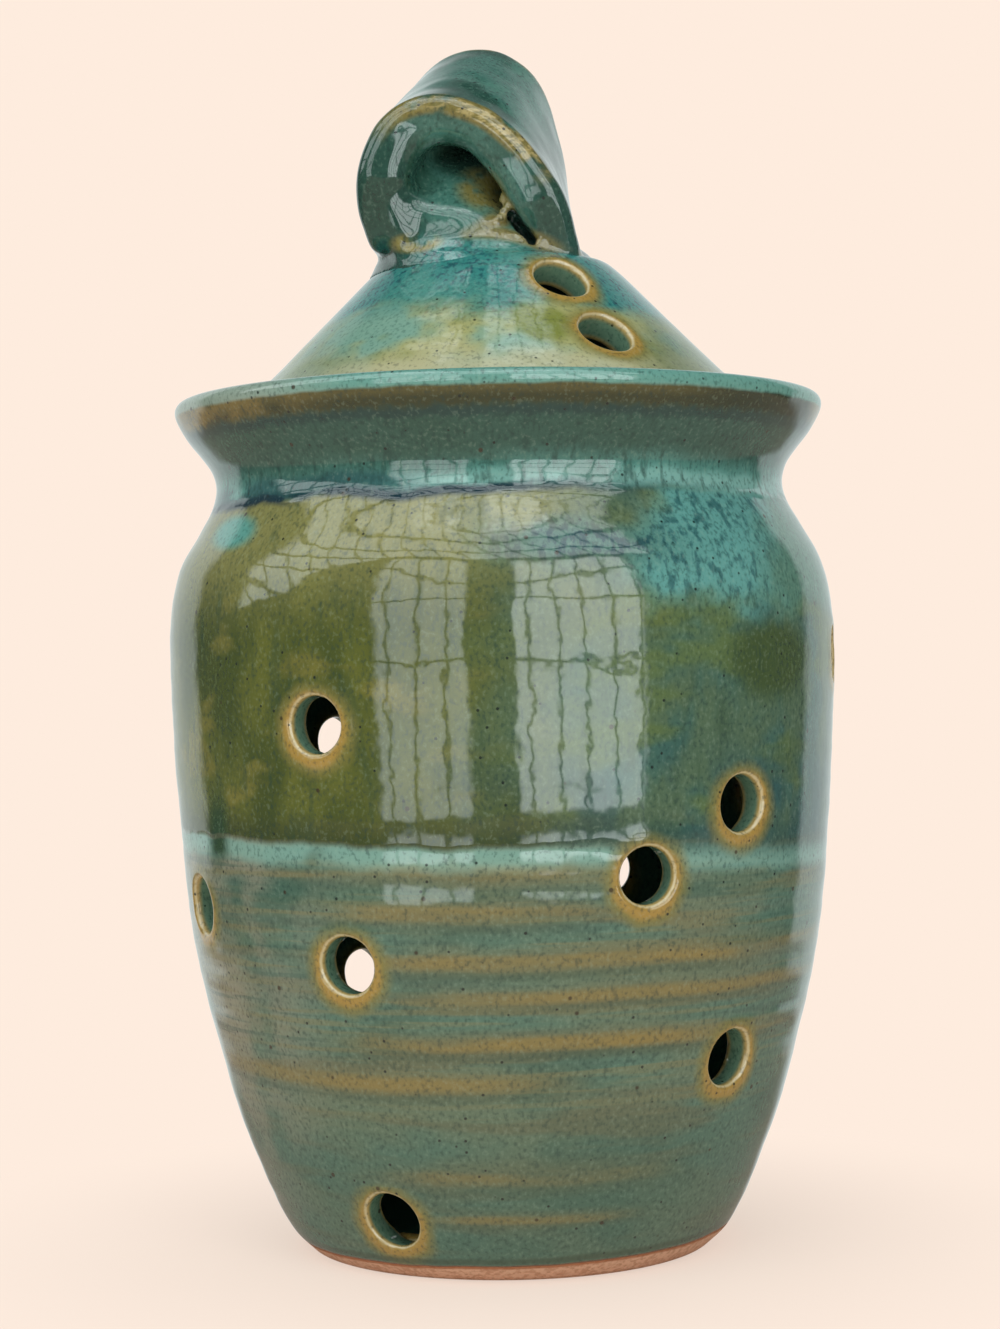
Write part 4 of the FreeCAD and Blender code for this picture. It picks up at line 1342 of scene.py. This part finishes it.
class KEEPER_OT_stage(bpy.types.Operator):
    """Lay the floor and set the light and the camera"""

    bl_idname = "keeper.stage"
    bl_label = "Stage"

    def execute(self, context):
        settings = context.scene.garlic_keeper.stage
        context.scene.view_settings.view_transform = "Standard"
        self.lay_floor(settings)
        self.light_room(context.scene, settings)
        self.set_camera(context.scene, settings)
        return {"FINISHED"}

    def lay_floor(self, settings):
        """Pale matt paper; far from the jar it shows its own colour, whatever the light."""
        far = 6.0
        mesh = bpy.data.meshes.new("floor")
        corners = [(-far, -far, 0), (far, -far, 0), (far, far, 0), (-far, far, 0)]
        mesh.from_pydata(corners, [], [(0, 1, 2, 3)])
        floor = bpy.data.objects.new("floor", mesh)
        bpy.context.scene.collection.objects.link(floor)
        material = bpy.data.materials.new("Matt paper")
        material.use_nodes = True
        tree = material.node_tree
        tree.nodes.clear()
        path = add_node(tree, "ShaderNodeLightPath", out=None).outputs
        spot = add_node(tree, "ShaderNodeTexCoord", out="Object")
        about = add_node(tree, VECTOR, [spot], "Value", operation="LENGTH")
        plain = add_node(tree, RANGE, [about, 0.04, 0.13, 0.66, 1.0], **SMOOTH)
        share = add_node(tree, MATH, [path["Is Camera Ray"], plain], operation="MULTIPLY")
        colour = tuple(settings.room_colour)
        lit = add_node(tree, "ShaderNodeBsdfDiffuse", [colour])
        own = add_node(tree, "ShaderNodeEmission", [colour])
        mixed = add_node(tree, "ShaderNodeMixShader", [share, lit, own])
        clear = add_node(tree, "ShaderNodeBsdfTransparent", [])
        mixed = add_node(tree, "ShaderNodeMixShader", [path["Is Glossy Ray"], mixed, clear])
        add_node(tree, "ShaderNodeOutputMaterial", [mixed], None)
        mesh.materials.append(material)

    def mirrored_room(self, tree, level):
        """What the glaze mirrors: a wide window in front, a pale room behind, a dim table below."""

        def node(kind, inputs=(), out=0, **settings):
            return add_node(tree, kind, inputs, out, **settings)

        def panes(across, along, wide, tall, bar):
            """1 on panes of a size and 0 on the bars between them."""
            place = {"Vector": node(JOIN, [across, along]), "Scale": 1.0, "Mortar Smooth": 0.4}
            size = {"Mortar Size": bar, "Brick Width": wide, "Row Height": tall}
            bars = node("ShaderNodeTexBrick", {**place, **size}, "Fac", offset=0.0)
            return node(MATH, [1.0, bars], operation="SUBTRACT")

        def within(mask, *edges):
            """A mask cut off at soft edges; each is a value with where it is 0 and 1."""
            for value, start, end in edges:
                edge = node(RANGE, [value, start, end, 0.0, 1.0], **SMOOTH)
                mask = node(MATH, [mask, edge], operation="MULTIPLY")
            return mask

        # Old glass bends the view; azimuth and elevation of what is seen, in degrees.
        way = node("ShaderNodeTexCoord", out="Generated")
        wavy = node(NOISE, {"Vector": way, "Scale": 2.2, "Detail": 1.0}, 1)
        wavy = node(VECTOR, [wavy, (0.5, 0.5, 0.5)], operation="SUBTRACT")
        wavy = node(VECTOR, [wavy, (0.12, 0.12, 0.12), way], operation="MULTIPLY_ADD")
        right, ahead, up = node(SPLIT, [wavy], None).outputs
        turned = node(MATH, [right, node(MATH, [ahead, -1.0], operation="MULTIPLY")], operation="ARCTAN2")
        turned = node(MATH, [turned], operation="DEGREES")
        raised = node(MATH, [node(MATH, [up], operation="ARCSINE")], operation="DEGREES")

        # The window, with a broad post in it, dimmer on its left half.
        from_post = node(MATH, [node(MATH, [turned, 4.0])], operation="ABSOLUTE")
        sides = (turned, -44.0, -41.0), (turned, 50.0, 47.0), (from_post, 8.0, 10.0)
        ends = (raised, -13.0, -10.0), (raised, 36.0, 33.0)
        window = within(panes(turned, raised, 9.5, 13.0, 0.7), *sides, *ends)
        dimming = node(RANGE, [turned, -12.0, 4.0, 0.66, 1.0])
        window = node(MATH, [window, dimming], operation="MULTIPLY")

        # Slanting panes above it, whose lower edge drops away on the far left.
        far_left = node(MATH, [node(MATH, [turned, 42.0]), 0.0], operation="MINIMUM")
        sloped = node(MATH, [far_left, -0.5, raised], operation="MULTIPLY_ADD")
        sides = (turned, -104.0, -96.0), (turned, 64.0, 58.0)
        ends = (sloped, 37.0, 39.0), (raised, 76.0, 70.0)
        slanted = node(MATH, [raised, 0.9, turned], operation="MULTIPLY_ADD")
        roof = within(panes(slanted, raised, 12.0, 9.0, 0.8), *sides, *ends)

        # Two skylights overhead, which only the lid's cone mirrors.
        square = node(MATH, [right, right], operation="MULTIPLY")
        overhead = node(MATH, [square, -1.0, ahead], operation="MULTIPLY_ADD")
        from_bar = node(MATH, [node(MATH, [right, 0.11])], operation="ABSOLUTE")
        sides = (right, -0.42, -0.36), (right, 0.26, 0.20), (from_bar, 0.04, 0.06)
        ends = (up, 0.84, 0.90), (overhead, 0.17, 0.14)
        skylight = within(panes(right, overhead, 0.09, 0.035, 0.006), *ends, *sides)

        room = node(RANGE, [ahead, 0.56, 0.66, 0.12, 0.95], **SMOOTH)
        low_down = node(RANGE, [up, 0.75, 0.35, 0.2, 1.0], **SMOOTH)
        room = node(MATH, [room, low_down], operation="MULTIPLY")
        for glass, share in ((window, 1.0), (roof, 0.65), (skylight, 0.55)):
            room = node(MATH, [glass, level * share, room], operation="MULTIPLY_ADD")
        table = node(RANGE, [raised, -10.0, -16.0, 0.0, 1.0], **SMOOTH)
        room = node("ShaderNodeBackground", ["#E4EDEC", room])
        floor = node("ShaderNodeBackground", ["#E8D6C6", 0.38])
        return node("ShaderNodeMixShader", [table, room, floor])

    def light_room(self, scene, settings):
        """Even room light with a soft window; the camera sees a plain pale room."""
        world = bpy.data.worlds.new("Pale room")
        world.use_nodes = True
        tree = world.node_tree
        tree.nodes.clear()
        path = add_node(tree, "ShaderNodeLightPath", out=None).outputs
        ahead = add_node(tree, SPLIT, [add_node(tree, "ShaderNodeTexCoord", out="Generated")], "Y")
        even = add_node(tree, RANGE, [ahead, -0.6, 0.6, 0.36, 0.80], **SMOOTH)
        fill = add_node(tree, "ShaderNodeBackground", ["#F4F6F8", even])
        room = add_node(tree, "ShaderNodeBackground", [tuple(settings.room_colour), 1.0])
        mirrored = self.mirrored_room(tree, settings.window_level)
        mixed = add_node(tree, "ShaderNodeMixShader", [path["Is Glossy Ray"], fill, mirrored])
        mixed = add_node(tree, "ShaderNodeMixShader", [path["Is Camera Ray"], mixed, room])
        add_node(tree, "ShaderNodeOutputWorld", [mixed], None)
        scene.world = world
        for pane in PANES:
            add_pane(*pane, settings.window_level)

    def set_camera(self, scene, settings):
        """The camera looks level at the jar from the front, tipped a little to one side."""
        data = bpy.data.cameras.new("camera")
        data.lens = settings.lens
        data.shift_y = CAMERA_SHIFT
        camera = bpy.data.objects.new("camera", data)
        scene.collection.objects.link(camera)
        roll = math.radians(CAMERA_ROLL)
        camera.matrix_world = Matrix(
            [
                [math.cos(roll), math.sin(roll), 0, CAMERA_ASIDE],
                [0, 0, -1, -settings.camera_distance],
                [-math.sin(roll), math.cos(roll), 0, settings.camera_height],
                [0, 0, 0, 1],
            ]
        )
        scene.camera = camera


class KEEPER_PT_panel(bpy.types.Panel):
    """Buttons and settings of the garlic keeper"""

    bl_label = "Garlic keeper"
    bl_idname = "KEEPER_PT_panel"
    bl_space_type = "VIEW_3D"
    bl_region_type = "UI"
    bl_category = "Garlic keeper"

    def draw(self, context):
        settings = context.scene.garlic_keeper
        for operator in OPERATORS:
            self.layout.operator(operator.bl_idname)
        for group in (settings.jar, settings.handle, settings.glaze, settings.stage):
            box = self.layout.box()
            for name in group.__annotations__:
                box.prop(group, name)


OPERATORS = (KEEPER_OT_stage, KEEPER_OT_jar, KEEPER_OT_lid, KEEPER_OT_handle)
GROUPS = (JarSettings, HandleSettings, GlazeSettings, StageSettings, KeeperSettings)
CLASSES = (*GROUPS, *OPERATORS, KEEPER_PT_panel)


def register():
    for each in CLASSES:
        bpy.utils.register_class(each)
    bpy.types.Scene.garlic_keeper = bpy.props.PointerProperty(type=KeeperSettings)


def unregister():
    del bpy.types.Scene.garlic_keeper
    for each in reversed(CLASSES):
        bpy.utils.unregister_class(each)


def main():
    register()
    bpy.ops.keeper.stage()
    bpy.ops.keeper.jar()
    bpy.ops.keeper.lid()
    bpy.ops.keeper.handle()


if __name__ == "__main__":
    main()
